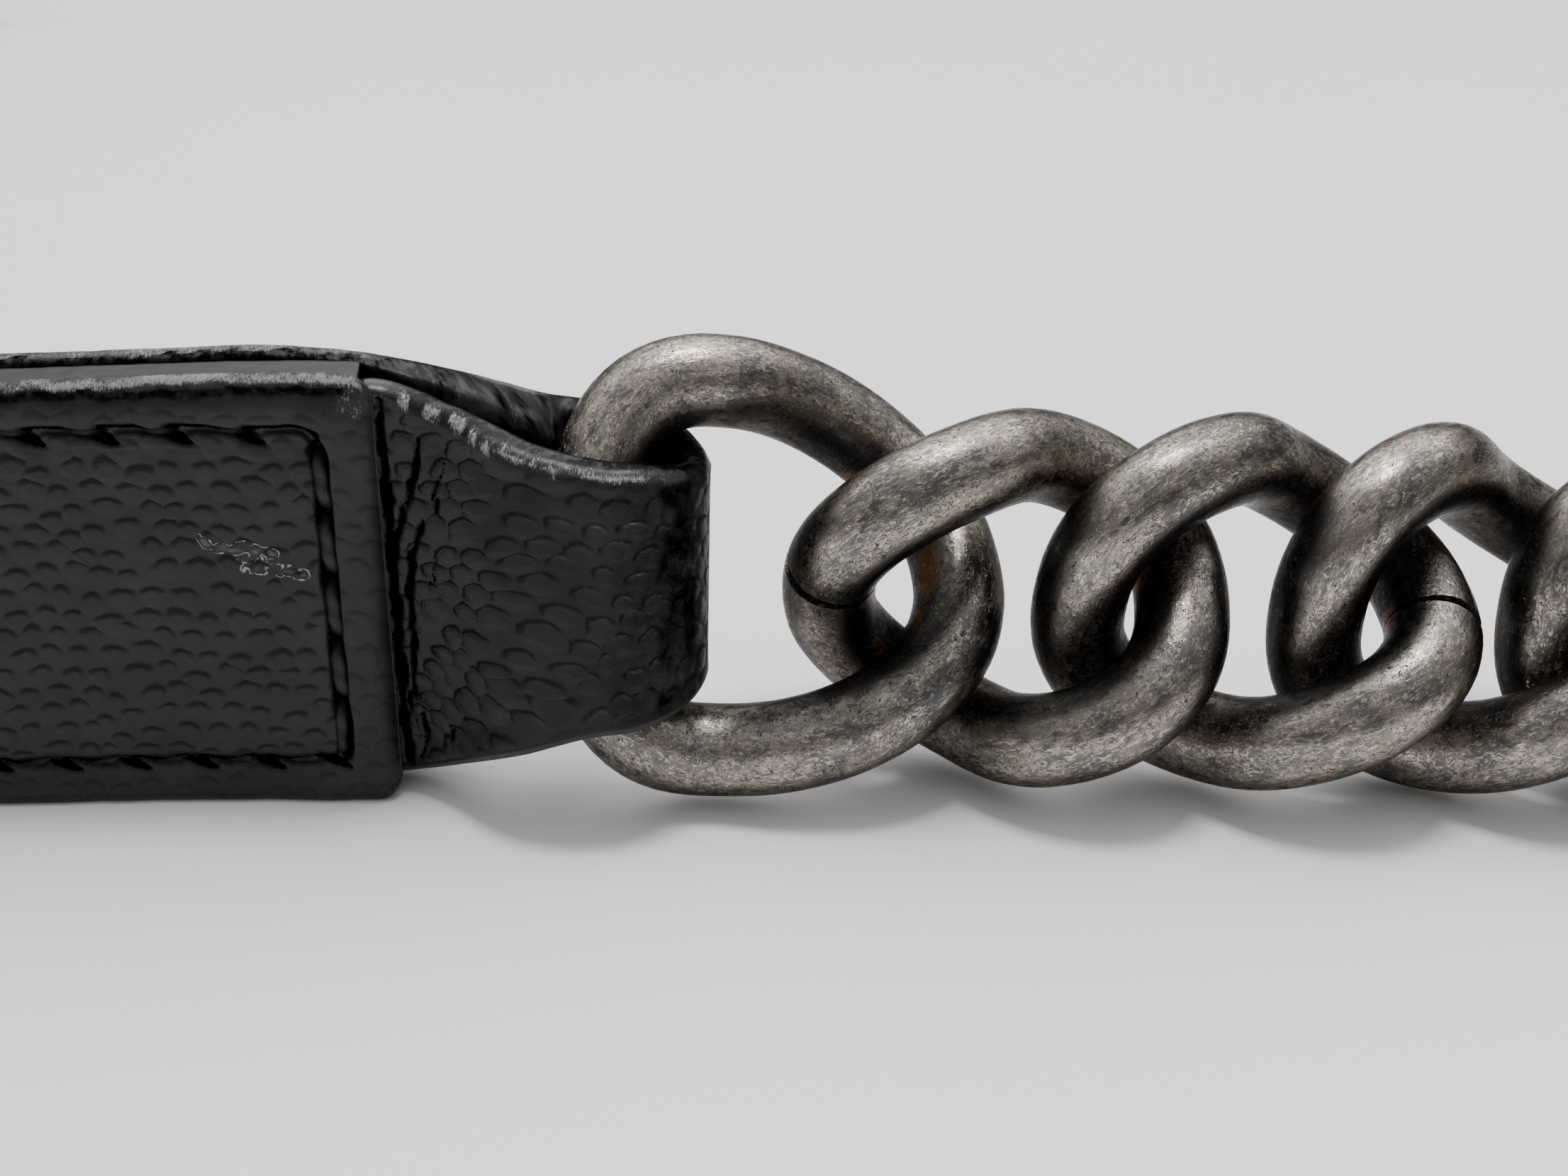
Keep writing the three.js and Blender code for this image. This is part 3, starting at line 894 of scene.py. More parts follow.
def spaced(*runs):
    """Places from one run to the next, each run as where it starts and its spacing."""
    places = []
    for (start, gap), (stop, _) in zip(runs, runs[1:]):
        places.append(np.linspace(start, stop, max(2, int(round((stop - start) / gap)) + 1))[:-1])
    return np.concatenate(places + [[runs[-1][0]]])


def skin(name, positions, values):
    """Leather closed round its sections, with both of its ends filled."""
    rows, columns = positions.shape[:2]
    i, j = np.meshgrid(np.arange(rows - 1), np.arange(columns), indexing="ij")
    k = (j + 1) % columns
    quads = np.stack([i * columns + j, i * columns + k, (i + 1) * columns + k, (i + 1) * columns + j], -1)
    faces = quads.reshape(-1, 4).tolist()
    faces.append(list(range(columns)))
    faces.append(list(range((rows - 1) * columns, rows * columns)))
    return put(name, mesh_of(name, positions, faces, bpy.data.materials["black_leather"], values))


def stitch_rectangle(s, z):
    """Distance outside the stitching's rounded rectangle, below nought within it."""
    middle = (LOW_ROW + HIGH_ROW) / 2
    z = z + np.where(z > middle, DIP_FOLLOWED * dip(s), 0.0)
    past_s = np.abs(s - ROUTE_LENGTH / 2) - (ROUTE_LENGTH / 2 - ROW_END - ROW_CORNER)
    past_z = np.abs(z - middle) - ((HIGH_ROW - LOW_ROW) / 2 - ROW_CORNER)
    return (np.hypot(np.maximum(past_s, 0), np.maximum(past_z, 0))
            + np.minimum(np.maximum(past_s, past_z), 0) - ROW_CORNER)


def stitch_holes(pitch):
    """Where the holes of the stitching are, as s and z."""
    near, far = ROW_END + ROW_CORNER, ROUTE_LENGTH - ROW_END - ROW_CORNER
    low, high = LOW_ROW + ROW_CORNER, HIGH_ROW - ROW_CORNER
    path = []
    for s, z, start in ((near, high, 90), (near, low, 180), (far, low, -90), (far, high, 0)):
        turn = np.linspace(math.radians(start), math.radians(start + 90), 7)
        path.append(np.stack([s + ROW_CORNER * np.cos(turn), z + ROW_CORNER * np.sin(turn)], 1))
    path = np.concatenate([*path, path[0][:1]])
    gone = travelled(path)
    count = int(round(gone[-1] / pitch))
    at = (np.arange(count) + 0.35) * gone[-1] / count
    s, z = np.interp(at, gone, path[:, 0]), np.interp(at, gone, path[:, 1])
    upper = (z > (LOW_ROW + HIGH_ROW) / 2) * ease(z, LOW_ROW + 8, HIGH_ROW)
    return s, z - DIP_FOLLOWED * dip(s) * upper


def turned_in(gap, radius):
    """How far a rounded end has turned in, at a gap from its tip."""
    return radius * (1 - np.sqrt(1 - np.clip(1 - gap / radius, 0, 1) ** 2))


def cover_outline(s):
    """The cover's section at each s, as n and z with the part that each belongs to, and its sizes."""
    near = np.minimum(s, ROUTE_LENGTH - s) - COVER["end"]
    inset, corner = turned_in(near, COVER["round"]), turned_in(near, COVER["corner"])
    pocket = 1 - ease(near + COVER["end"], COVER["skive_end"] - 1.0, COVER["skive_end"] + 0.6)
    inner = COVER["back"] + (COVER["skived"] - COVER["back"] - 0.06) * pocket - 0.06
    back = inner + (COVER["back"] - inner) * ease(near, 0.6, 1.0)
    front = COVER["front"] + inset
    low, high = 0.02 + corner, FULL_HEIGHT - dip(s) - corner
    bend, lip = COVER["round"], COVER["lip"]
    reach = np.minimum(bend, (back - front) / 2)
    foot = np.minimum(COVER["foot"], (back - front) / 2)
    edge = np.minimum(COVER["edge"], (back - front) / 3)

    up = spaced((0, 0.012), (0.025, 0.0038), (0.10, 0.0125), (0.865, 0.0038), (0.945, 0.009), (1, 1))[None]
    angle = np.linspace(0, 1, 9)[None, 1:] * math.pi / 2
    across, down, fall = (np.linspace(0, 1, count)[None, 1:] for count in (10, 4, 8))
    across = across[:, :-1]
    cos, sin = np.cos(angle), np.sin(angle)
    runs = (
        ("front", front, low + foot + (high - low - bend - foot) * up),
        ("rim", front + reach * (1 - cos), high - bend + bend * sin),
        ("top", front + reach + (back - front - reach - edge) * across, high),
        ("lip", back - edge + edge * sin[:, ::2], high - COVER["edge"] * (1 - cos[:, ::2])),
        ("lip", back, high - COVER["edge"] - (lip - COVER["edge"]) * down),
        ("inside", back + (inner - back) * down, high - lip),
        ("inside", inner, high - lip - (high - low - 2 * lip) * fall),
        ("inside", inner + (back - inner) * down, low + lip),
        ("lip", back, low + lip - lip * down),
        ("bottom", back + (front + foot - back) * across, low),
        ("rim", front + foot * (1 - sin), low + foot - foot * cos),
    )
    n, z, kinds = [], [], []
    for kind, run_n, run_z in runs:
        run_n, run_z, _ = np.broadcast_arrays(run_n, run_z, s)
        n.append(run_n)
        z.append(run_z)
        kinds += [kind] * run_n.shape[1]
    return np.concatenate(n, 1), np.concatenate(z, 1), np.array(kinds), inset, low, high


class STRAP_OT_cover(bpy.types.Operator):
    """Make the padded cover with its sunk stitching line, puffed rim and turned ends"""

    bl_idname = "strap.cover"
    bl_label = "Padded Cover"

    def execute(self, context):
        settings = context.scene.strap_leather
        end, bend, pitch = COVER["end"], COVER["round"], settings.stitch_pitch / MM
        s = spaced((end, 0.07), (end + 1.0, 0.16), (end + 2, 0.08), (end + 3.5, 0.18), (45.0, 0.42),
                   (75.0, pitch / 4), (ROUTE_LENGTH - 55, 0.6), (ROUTE_LENGTH - end - 3.5, 0.1),
                   (ROUTE_LENGTH - end - 2, 0.2), (ROUTE_LENGTH - end - 1, 0.1),
                   (ROUTE_LENGTH - end, 1.0))[:, None]
        n, z, kinds, inset, low, high = cover_outline(s)
        is_part = lambda *parts: np.isin(kinds, parts)[None]
        face = is_part("front", "rim")
        wide = s + 0 * z
        near = np.minimum(wide, ROUTE_LENGTH - wide)
        flat = np.stack([wide, round_length(n, z) + low, 0 * wide], -1)

        # How far each place is from the nearest hole; those in the level rows are slanted slits.
        hole = np.full(z.shape, 9.0)
        for hole_s, hole_z in zip(*stitch_holes(pitch)):
            rows = np.abs(s[:, 0] - hole_s) < 2.4
            off_s, off_z = wide[rows] - hole_s, z[rows] - hole_z
            if min(abs(hole_z - LOW_ROW), abs(hole_z - HIGH_ROW)) < 0.5:
                cos, sin = SLIT_LEAN
                off_s, off_z = cos * off_s + sin * off_z, cos * off_z - sin * off_s
                off_s, off_z = off_s * SLIT_LONG, off_z * SLIT_SLIM
            hole[rows] = np.minimum(hole[rows], np.hypot(off_s, off_z))

        # The face: sunk along the stitching, puffed outside it and gently crowned within it.
        past_row = np.maximum(LOW_ROW - z, z - HIGH_ROW)
        past_end = np.abs(wide - ROUTE_LENGTH / 2) - (ROUTE_LENGTH / 2 - ROW_END)
        level = ease(past_row - past_end, -0.4, 0.2)
        beside = stitch_rectangle(wide, z) - (0.08 + 0.22 * level) * ease(hole, 0.2, 1.1)
        beside = beside + 0.04 + 0.10 * level + 0.07 * ripple(wide * 1.3, z * 0.6, 11)
        upper = np.where(z > MID_HEIGHT, beside, -beside)
        channel = (1 - ease(np.abs(beside), 0.34, 0.50)) * (1 - level)
        channel += 0.6 * (1 - ease(np.abs(upper - 0.30), 0.14, 0.30)) * level
        out = settings.rim_puff / MM * bell(beside - 1.35, 0.95)
        out -= settings.channel_depth / MM * channel
        out -= HOLE_DEPTH * bell(hole, HOLE_RADIUS, 4) * (1 - 0.6 * channel) + HOLE_SAG * bell(hole, 0.8)
        out += CROWN * (1 - np.exp(np.minimum(beside, 0) / 2.2)) * (beside < 0)
        out += UNEVENNESS * ripple(wide * 0.19, z * 0.22, 5) * (beside < -0.6)
        out += 0.035 * ripple(wide * 0.9, z * 0.35, 8) * ease(beside, 0.5, 1.4)
        out -= TOP_SLOPE * ease(z, high - 2.2, high)
        turned = np.sqrt(1 - np.clip((z - high + bend) / bend, 0, 1) ** 2)
        n = n - face * out * turned * np.clip(1 - inset / bend, 0.15, 1)
        rim_top = is_part("rim", "top", "lip") & (z > MID_HEIGHT)
        z = z + rim_top * (0.05 * ripple(wide * 0.25, n * 0.2, 21) + 0.014 * ripple(wide * 1.3, n, 22))
        z = np.maximum(z, LEATHER_CLEAR)

        # Painted shade: dark lines where the leather opens along the stitching and round the holes.
        line = np.where(level > 0.5, 0.10 - np.abs(upper - np.where(z > MID_HEIGHT, 0.40, 0.27)),
                        0.42 - np.abs(beside))
        channel_and_hole_shade = 0.5 + np.maximum(line, 0.42 - hole) / 0.5

        # The top ridge, rubbed light and with a painted highlight along it, and the end's upper corner,
        # rubbed light.
        below = high - z
        edge_at = 0.20 + 0.09 * ripple(wide * 0.7, 0, 31) + 0.07 * ripple(wide * 2.3, 0, 32)
        worn_and_highlit = bell(below - edge_at, 0.22, 3) * (
            0.67 + 0.25 * (1 - ease(near, 24, 44)) + 0.25 * ripple(wide * 0.45, 0, 33))
        corner_rub = bell(np.hypot(near - end - 1.0, 0.8 * (1.0 - below)), 0.75)
        worn_and_highlit = np.maximum(worn_and_highlit, (0.55 + 0.4 * ripple(wide * 3, z * 3, 35)) * corner_rub)
        worn_and_highlit *= face * ease(near, end + 0.15, end + 0.5)

        # A band of painted shade under the ridge, the scuff within the stitching, and painted shade on the
        # inside.
        off_band = below - 0.62 - 0.09 * ripple(wide * 0.9, 0, 34) - 0.07 * ripple(wide * 2.9, 0, 36)
        band = bell(np.minimum(off_band, 0), 0.18, 4) * bell(np.maximum(off_band, 0), 0.50, 3)
        band = 0.95 * band * face * ease(near, end + 0.5, end + 1.6)
        to_scuff = np.minimum(line_distance(wide, z, SCUFF), 0.8 * line_distance(wide, z, SCUFF_END))
        scuff = np.clip(1 - to_scuff / 0.9, 0, 1) * (1 - 0.55 * ease(wide, 29.5, 30.3)) * face

        cover = skin("padded_cover", on_route(wide, n, z), {
            "flat": flat, "grain": flat / (1.6, 1.33, 1),
            "pebbled": np.where(face, 1 - 0.55 * ease(beside, -0.9, 0.5), 0.12),
            "rubbed_and_highlit": np.clip(worn_and_highlit, 0, 1), "crack_and_hole_shade": np.clip(channel_and_hole_shade * face, 0, 1),
            "painted_shade": np.maximum(band, 0.9 * is_part("lip", "inside")),
            "creased": 0.25 + 0 * z, "polished": 0 * z, "scuffed": scuff})
        dress(cover, "leather", "cover_strip")
        return {"FINISHED"}


def smooth_through(rows, step):
    """A smooth run through rows of values, spaced by the distance over their first two columns."""
    rows = np.array(rows, float)
    gone = travelled(rows[:, :2])
    slope = np.gradient(rows, gone, axis=0)
    at = np.linspace(0, gone[-1], int(gone[-1] / step))
    i = np.clip(np.searchsorted(gone, at, side="right") - 1, 0, len(gone) - 2)
    width = (gone[i + 1] - gone[i])[:, None]
    t = (at - gone[i])[:, None] / width
    return ((2 * t**3 - 3 * t**2 + 1) * rows[i] + (t**3 - 2 * t**2 + t) * width * slope[i]
            + (3 * t**2 - 2 * t**3) * rows[i + 1] + (t**3 - t**2) * width * slope[i + 1])


def ribbon_end():
    """The ribbon's run at one end, from the tuck under the cover to the back of the strap."""
    around = []
    for turn in np.linspace(0, math.pi, 13):
        out, back = math.sin(turn), (1 - math.cos(turn)) / 2
        edges = [a + (b - a) * back for a, b in zip(LOOP["front"], LOOP["back"])]
        edges = [a + (b - a) * out**2 for a, b in zip(edges, LOOP["tip"])]
        around.append((LOOP["s"] - LOOP["radius"] * out, LOOP["n"] - LOOP["radius"] * math.cos(turn),
                       *edges, LOOP["lean"]))
    return smooth_through((*RIBBON_TO_LOOP, *around, *RIBBON_FROM_LOOP), 0.02)


class STRAP_OT_ribbon(bpy.types.Operator):
    """Make the leather ribbon along the back, looped round both end links and tucked under the cover"""

    bl_idname = "strap.ribbon"
    bl_label = "Ribbon"

    def execute(self, context):
        right = ribbon_end()
        left = right[::-1].copy()
        left[:, 0] = ROUTE_LENGTH - left[:, 0]
        middle_s = np.arange(right[-1, 0] + 0.5, left[0, 0] - 0.4, 0.5)
        middle = np.stack([middle_s] + [0 * middle_s + value for value in RIBBON_FROM_LOOP[-1][1:]], 1)
        path = np.concatenate([right, middle, left])
        spots = on_route(path[:, 0], path[:, 1], 0.0)[:, :2] / MM

        # Lengths along the ribbon: all of it, and where it leaves the cover, where its tab begins to
        # narrow, where it turns round the bar, and where it is behind the cover again.
        gone = travelled(spots)
        whole = gone[-1]
        tucked, crossed = (gone[np.argmax(right[:, 0] < place)] for place in (22.0, 16.6))
        turning = gone[np.argmin(right[:, 0])] - 9
        behind = gone[len(right) - 1]
        half = spaced((0, 1.2), (tucked, 0.1), (crossed, 0.26), (turning, 0.2), (turning + 18, 0.34),
                      (behind + 14, 1.5), (whole / 2, 1.0))
        other = spaced((0, 1.6), (tucked, 0.2), (crossed, 0.4), (turning, 0.3), (turning + 18, 0.6),
                       (behind + 10, 1.5), (whole / 2, 1.0))
        at = np.concatenate([half, (whole - other)[::-1][1:]])
        s, n, low, high, lean = (np.interp(at, gone, path[:, i])[:, None] for i in range(5))
        before, after = (np.stack([np.interp(at + step, gone, spots[:, i]) for i in (0, 1)], -1)
                         for step in (-0.06, 0.06))
        ahead = (after - before) / np.linalg.norm(after - before, axis=1, keepdims=True)
        outward = np.stack([ahead[:, 1], -ahead[:, 0]], -1)[:, None]
        high = high - dip(s) * (1 - lean)

        # Round the section: up the outside, over the top edge, down the inside and under.
        thick = RIBBON_THICKNESS / 2
        up = np.linspace(0, 1, 66)[None]
        down = up[:, ::2]
        turn = np.linspace(0, math.pi, 11)[None, 1:-1]
        rise = high - low - 2 * RIBBON_ROUND
        side = np.concatenate([thick + 0 * up, thick * np.cos(turn), -thick + 0 * down,
                               -thick * np.cos(turn)], 1) + 0 * s
        z = np.concatenate([
            low + RIBBON_ROUND + rise * up, high - RIBBON_ROUND + RIBBON_ROUND * np.sin(turn),
            high - RIBBON_ROUND - rise * down, low + RIBBON_ROUND - RIBBON_ROUND * np.sin(turn)], 1)
        kinds = np.repeat(("outside", "edge", "inside", "edge"), (66, 9, 33, 9))[None]
        outer, edge, inner = kinds == "outside", kinds == "edge", kinds == "inside"

        # Where each place is: along the ribbon, from the nearer end of it and of the route, below the
        # top edge and above the lower one.
        round_way = low + round_length(side, z)
        along = at[:, None] + 0 * z
        way = np.minimum(along, whole - along)
        from_end = np.minimum(s, ROUTE_LENGTH - s)
        wide = from_end + 0 * z
        top_gap, low_gap = high - z, z - low
        edge_gap = np.minimum(top_gap, low_gap)
        free = 1 - ease(from_end, 18.9, 20.4)
        round_bar = 1 - ease(from_end, 6.5, 10.0)
        on_tab = way < crossed + 2
        backing = (wide > COVER["end"]) & ~on_tab

        # A bead along both edges, wrinkled at the top of the tab, a groove beside it, and cracks.
        wrinkled = bell(top_gap - 0.6, 0.8) * free
        out = BEAD * bell(edge_gap - 0.6, 0.7) * (1 - 0.85 * round_bar)
        out += wrinkled * (0.07 * ripple(along * 1.7, z * 0.4, 45)
                           + 0.04 * ripple(along * 4.2, z * 0.9, 46))
        out -= GROOVE * bell(edge_gap - 2.0, 0.6) * (1 - round_bar)
        out += 0.05 * ripple(along * 0.3, z * 0.35, 41) * free * (1 - round_bar)
        out *= np.where(on_tab, free, 1)
        wander = 0.18 * ripple(wide * 1.5, z * 1.5, 51) + 0.10 * ripple(wide * 4, z * 4, 52)
        tapered = 0.85 + 0.55 * ripple(wide, z * 0.9, 53) - 0.4 * ease(z, 17, 22)
        cracks = np.max([0.5 + (width * tapered - line_distance(wide + wander, z, corners)) / 0.5
                         for corners, width in CRACKS], 0)
        # The cracks are also painted black as shade.
        cracks = np.clip(cracks, 0, 1) * on_tab * outer
        out -= CRACK_DEPTH * ease(cracks, 0.4, 0.8)

        # Behind the tab the top edge rolls over towards the back, less so at the far end of the strap.
        rolled = np.clip(top_gap, 0, None) / ROLL_RADIUS - 1
        rolled = np.sqrt(np.clip(1 - rolled ** 2, 0, None))
        room = np.interp(from_end, ROLL_PLACES, ROLL_DEPTHS)
        room = room * (way > turning + 9) * np.where(along < whole / 2, 1, 0.6)
        crossing = 0.14 * ripple(along * 1.6, z * 0.5, 47) + 0.08 * ripple(along * 3.8, z, 48)
        rolled = rolled * (room + crossing * ease(room, 0, 1))
        side = side + outer * out + edge * BEAD * side / thick * (1 - round_bar)
        side = side - rolled * (edge * np.clip(0.5 - side / thick / 2, 0, 1) + inner)
        wave = 0.06 * ripple(along * 0.3, 0, 61) + 0.02 * ripple(along * 1.3, 0, 62)
        z = z + np.where(z > (low + high) / 2, wave, 0.3 * wave) * np.exp(-edge_gap / 2.5)
        z = np.maximum(z, LEATHER_CLEAR)
        positions = on_route(s, n + lean * (z - MID_HEIGHT), z)
        positions[..., :2] += outward * side[..., None] * MM

        # The grain is drawn out along the tab, slanted, and calmer where the ribbon turns.
        stretched = (1 / 1.55 - 0.22 * within(at, (crossed - 1, crossed + 3), (turning, turning + 3))
                     + 0.12 * ease(at, turning + 2, turning + 5))
        stretched = np.cumsum(stretched * np.diff(at, prepend=at[0]))[:, None] + 0 * z
        grain = np.stack([stretched, round_way / 1.25 + 0.12 * stretched, 0 * along], -1)
        calm = 1 - 2.0 * ease(way, turning + 1, turning + 4)
        calm = 1 - 0.18 * ease(way, crossed - 1, crossed + 3) * calm

        # Rubbed light tufts along the tab's top edge, a painted highlight streak round the turn, and a
        # painted gleam along the back's edge.
        facing = outer | (edge & (side > 0) & (z > MID_HEIGHT))
        rub = bell(top_gap - 0.50 - 0.25 * ripple(along * 0.8, 0, 72), 0.42, 3)
        rub = rub * facing * (way < turning + 6)
        tufts = ease(ripple(way * 3.1, z * 0.5, 71) + 0.5 * ripple(way * 0.5, 0, 76), -0.30, 0.40)
        rub *= tufts * (0.36 + 0.56 * within(way, (tucked + 1, tucked + 3), (crossed + 4, crossed + 7)))
        highlight_streak = (within(way, (turning - 5, turning - 3), (turning + 4.5, turning + 6.5)) * facing
                  * bell(top_gap - 0.50 - 0.1 * ripple(way, 0, 77), 0.2))
        painted_gleam = 0.55 + 0.34 * ripple(along * 0.6, z, 73)
        rubs_and_highlights = [rub, (0.65 + 0.35 * ripple(way * 1.7, 0, 78)) * highlight_streak,
                painted_gleam * bell(top_gap, 0.22) * backing * ~outer]

        # Painted shade: round the loop, along the tab's edge, where the ribbon turns, on the roll, and down
        # the seam between ribbon and cover, with a jagged border and streaks along the back's edge.
        looped = within(way, (turning - 3, turning + 1), (turning + 18, turning + 20))
        round_side = within(way, (turning + 1.5, turning + 4), (turning + 9, turning + 12))
        dark_turn = (0.85 + 0.3 * ripple(way * 1.1, z * 0.8, 79)) * bell(way - turning - 5.7, 1.5, 4)
        rolled_edge = (1 - ease(wide, 20.5, 22)) * (top_gap < 4) * ~outer * (room > 0.05)
        streaky = (0.30 + 0.30 * ripple(along * 0.7, top_gap * 5, 74)
                   + 0.2 * ripple(along * 2.2, top_gap * 5, 75))
        jagged = -side / thick + 0.30 * ripple(along * 1.1, 0, 80) + 0.15 * ripple(along * 3.4, 0, 81)
        painted_shades = [0.85 * looped * bell(np.clip(top_gap - 0.1, 0, None), 1.0) * np.where(outer, 0.8, 1.0),
                  0.7 * bell(top_gap, 0.9) * free,
                  0.62 * round_side * outer,
                  dark_turn * outer,
                  0.72 * rolled_edge,
                  0.97 * ease(top_gap, 0.05, 0.22) * inner * backing,
                  streaky * (top_gap < 1.2) * backing * ~outer,
                  0.97 * ease(jagged, 0.36, 0.60) * (z > MID_HEIGHT) * edge * backing]
        # Each crease across the roll gets a line of painted shade, with a painted highlight beside it.
        for shaded_crease in ROLL_CREASES:
            off = np.abs(wide - shaded_crease + 0.5 * ripple(z * 0.7 + shaded_crease, along * 0.5, 54))
            painted_shades.append(1.4 * bell(off, 0.16) * rolled_edge)
            rubs_and_highlights.append(0.45 * bell(off - 0.22, 0.07) * rolled_edge * (top_gap < 1.6))

        ribbon = skin("leather_ribbon", positions, {
            "flat": np.stack([along, round_way, 0 * along], -1), "grain": grain,
            "pebbled": np.where(outer, 1.0, 0.2) * ease(edge_gap, 0.2, 1.6) * calm,
            "rubbed_and_highlit": np.clip(np.max(rubs_and_highlights, 0), 0, 1), "crack_and_hole_shade": cracks, "scuffed": 0 * z,
            "painted_shade": np.clip(np.max(painted_shades, 0) * (1 - 0.9 * highlight_streak), 0, 1),
            "creased": 0.4 + (0.4 - 0.2 * ease(way, crossed, crossed + 3)) * free * outer,
            "polished": np.maximum(highlight_streak, bell(top_gap, 0.7))})
        dress(ribbon, "leather", "backing_strip")
        return {"FINISHED"}


# ---------------------------------------------------------------------------------------------------
# The stitching

# A stitch's length as a share of the pitch, how high it arches, how flat it is pressed, and its slant.
STITCH = {"share": 0.70, "arch": 0.36, "flatness": 0.55, "slant": 5.0}


def stitch_tree():
    """A short thread that dives at both ends, once at each point."""
    shape = Shape("sunk_stitch")
    length = shape.size("Length", 3.0 * MM)
    radius = shape.size("Thread Radius", 0.35 * MM)
    arch = shape.size("Arch", 0.3 * MM)
    flatness = shape.size("Flatness", 0.55)
    material = shape.size("Material", kind="Material")
    line = shape.add("GeometryNodeCurvePrimitiveLine", {"Start": (-0.5, 0.0, 0.0), "End": (0.5, 0.0, 0.0)})
    line = shape.resample(line, 11)
    x = shape.separate(shape.position())[0]
    away = shape.math("POWER", abs(x) * 2.0, 4.5)
    line = shape.store(line, "run", x)
    line = shape.add("GeometryNodeSetCurveRadius", {"Curve": line, "Radius": 1.0 - away * 0.35})
    line = shape.move(line, Position=shape.combine(x * length, 0.0, arch * (0.3 - away * 3.0)))
    thread = shape.sweep(line, shape.circle(9, radius), caps=True)
    around = shape.section_place()
    place = shape.combine(shape.named("run") * length, around[0], around[1])
    thread = shape.store(thread, "thread", place)
    thread = shape.move(thread, Position=shape.position() * shape.combine(1.0, 1.0, flatness))
    return shape.close(shape.copies(thread), material)


class STRAP_OT_stitches(bpy.types.Operator):
    """Make the stitching round the cover's face"""

    bl_idname = "strap.stitches"
    bl_label = "Stitching"

    def execute(self, context):
        settings = context.scene.strap_leather
        radius = settings.thread_radius / MM
        hole_s, hole_z = stitch_holes(settings.stitch_pitch / MM)
        next_s, next_z = np.roll(hole_s, -1), np.roll(hole_z, -1)
        mid_s, mid_z = (hole_s + next_s) / 2, (hole_z + next_z) / 2
        off_low, off_high = np.abs(mid_z - LOW_ROW), np.abs(mid_z - HIGH_ROW)
        level = np.minimum(off_low, off_high) < 0.7
        depth = COVER["front"] + 0.55 * radius + 0.14 + 0.22 * level
        mid_z = mid_z + 0.10 * (off_high < 1.6) - 0.10 * (off_low < 0.6)
        places = on_route(mid_s, depth, mid_z)
        runs = on_route(next_s, depth, next_z) - on_route(hole_s, depth, hole_z)
        outs = on_route(mid_s, depth - 1, mid_z) - places
        slant = Matrix.Rotation(math.radians(STITCH["slant"]), 3, "Z")
        turns = []
        for run, out in zip(runs, outs):
            z_axis = Vector(out).normalized()
            x_axis = (Vector(run) - Vector(run).project(z_axis)).normalized()
            turns.append(Matrix((x_axis, z_axis.cross(x_axis), z_axis)).transposed() @ slant)
        points = placed_points(places.tolist(), turns, range(len(turns)))
        made = grow("cover_stitching", points, stitch_tree(), {
            "Length": settings.stitch_pitch * STITCH["share"], "Thread Radius": settings.thread_radius,
            "Arch": STITCH["arch"] * MM, "Flatness": STITCH["flatness"],
            "Material": bpy.data.materials["black_thread"]})
        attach(made, "root")
        return {"FINISHED"}


# ---------------------------------------------------------------------------------------------------
# The stage

# Where the camera looks from, in millimetres and degrees round a point above the route's start, its
# roll in radians, and its lens and sensor.
VIEW = {"distance": 104.1, "elevation": 24.6, "height": 10.8, "roll": 0.013, "lens": 44.056057,
        "sensor": 36.0}

# Each lamp: where it is and what it points at, in metres from the point that the camera looks at, and
# its width.
LAMPS = {"overhead": ((0.03, 0.05, 0.60), (0, 0, 0), 0.16),
         "behind": ((0.12, 0.62, 0.75), (0.05, 0.1, 0), 1.2)}
SKY_TINT = (0.96, 0.98, 1.0, 1)
FLOOR_REACH = 3.0


def soft_room(settings):
    """Light from all round: bright behind and overhead, dim in front and at the sides."""
    world = bpy.data.worlds.new("soft_room")
    world.use_nodes = True
    room = Tree(world.node_tree)
    way = room.separate(room.add("ShaderNodeTexCoord", output="Generated"))
    high = room.rescale(way[2], 0.30, 0.70)
    behind = room.rescale(way[1], -0.3, 0.5) * high
    glow = room.tree.nodes["Background"].inputs
    room.plug(glow["Color"], SKY_TINT)
    room.plug(glow["Strength"], (0.25 + high * 0.50 + behind * 1.30) * settings.sky)
    return world


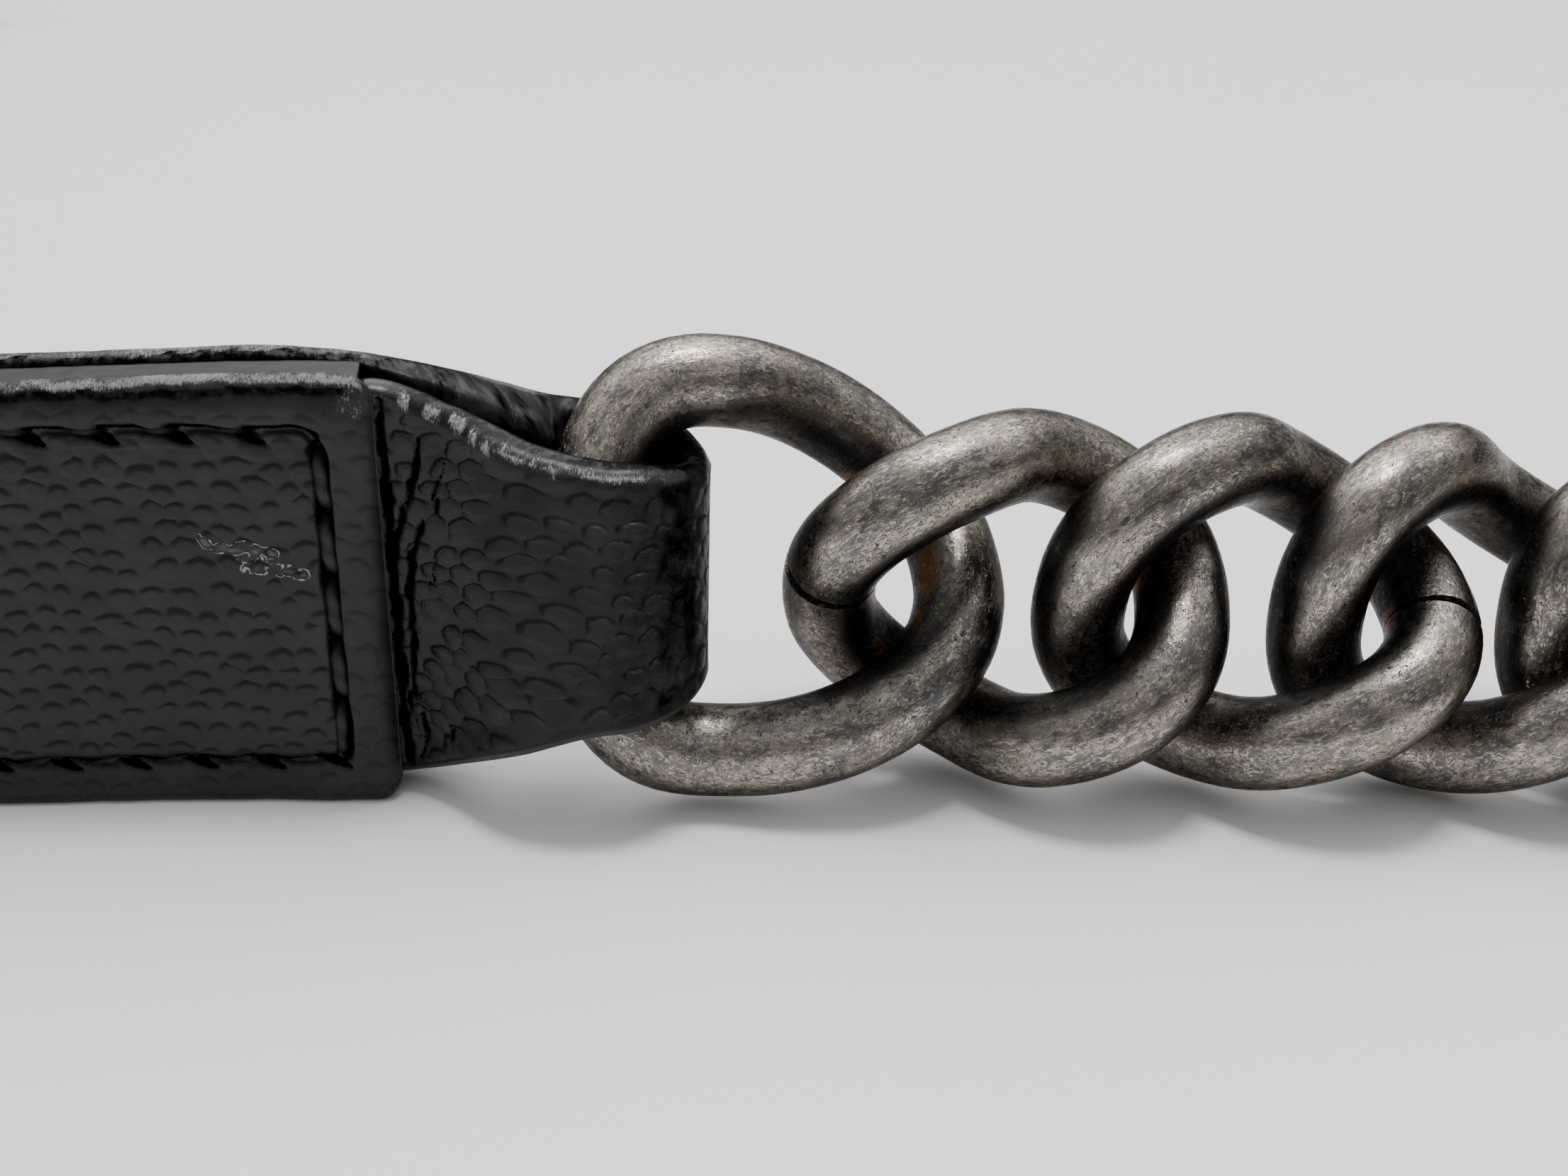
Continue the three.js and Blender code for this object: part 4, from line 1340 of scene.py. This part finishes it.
class STRAP_OT_stage(bpy.types.Operator):
    """Make the floor, the soft light and the camera"""

    bl_idname = "strap.stage"
    bl_label = "Stage"

    def execute(self, context):
        settings = context.scene.strap_stage
        corners = np.array([(-1, -1, 0), (1, -1, 0), (1, 1, 0), (-1, 1, 0)]) * FLOOR_REACH
        floor = put("floor", mesh_of("floor", corners, [(0, 1, 2, 3)], floor_finish(settings)))
        if floor.data.polygons[0].normal.z < 0:
            floor.data.flip_normals()

        context.scene.world = soft_room(settings)
        aim = ROUTE_START + Vector((0, 0, VIEW["height"] * MM))
        powers = {"overhead": settings.key_power, "behind": settings.back_power}
        for name, (place, target, width) in LAMPS.items():
            light = bpy.data.lights.new(name, "AREA")
            light.shape, light.size, light.energy = "SQUARE", width, powers[name]
            lamp = put(name, light)
            lamp.location = aim + Vector(place)
            lamp.rotation_euler = (aim + Vector(target) - lamp.location).to_track_quat("-Z", "Y").to_euler()

        camera = bpy.data.cameras.new("camera")
        camera.sensor_width, camera.lens = VIEW["sensor"], VIEW["lens"]
        camera.clip_start, camera.clip_end = 0.005, 10.0
        eye = put("camera", camera)
        tilt = math.radians(VIEW["elevation"])
        eye.location = aim + Vector((0, -math.cos(tilt), math.sin(tilt))) * VIEW["distance"] * MM
        look = (aim - eye.location).to_track_quat("-Z", "Y").to_matrix()
        eye.rotation_euler = (look @ Matrix.Rotation(VIEW["roll"], 3, "Z")).to_euler()
        context.scene.camera = eye
        return {"FINISHED"}


class STRAP_OT_finishes(bpy.types.Operator):
    """Make the leather, thread and metal finishes"""

    bl_idname = "strap.finishes"
    bl_label = "Finishes"

    def execute(self, context):
        pewter_finish(context.scene.strap_metal)
        leather_finish(context.scene.strap_leather)
        thread_finish()
        return {"FINISHED"}


STEPS = (STRAP_OT_stage, STRAP_OT_finishes, STRAP_OT_chains, STRAP_OT_end_links, STRAP_OT_end_rings,
         STRAP_OT_cover, STRAP_OT_ribbon, STRAP_OT_stitches)


class STRAP_PT_panel(bpy.types.Panel):
    """Lists the settings and the steps that make the strap"""

    bl_idname = "STRAP_PT_panel"
    bl_label = "Shoulder Strap"
    bl_space_type = "VIEW_3D"
    bl_region_type = "UI"
    bl_category = "Shoulder Strap"

    def draw(self, context):
        for group in (context.scene.strap_leather, context.scene.strap_metal, context.scene.strap_stage):
            box = self.layout.box()
            for name in group.__annotations__:
                box.prop(group, name)
        for step in STEPS:
            self.layout.operator(step.bl_idname)


GROUPS = {"strap_leather": StrapLeather, "strap_metal": StrapMetal, "strap_stage": StrapStage}
CLASSES = (*GROUPS.values(), *STEPS, STRAP_PT_panel)


def register():
    for item in CLASSES:
        bpy.utils.register_class(item)
    for name, group in GROUPS.items():
        setattr(bpy.types.Scene, name, PointerProperty(type=group))


def unregister():
    for name in GROUPS:
        delattr(bpy.types.Scene, name)
    for item in reversed(CLASSES):
        bpy.utils.unregister_class(item)


def main():
    register()
    for step in STEPS:
        group, name = step.bl_idname.split(".")
        if getattr(getattr(bpy.ops, group), name)() != {"FINISHED"}:
            raise RuntimeError(f"{step.bl_label} could not be made")


if __name__ == "__main__":
    main()
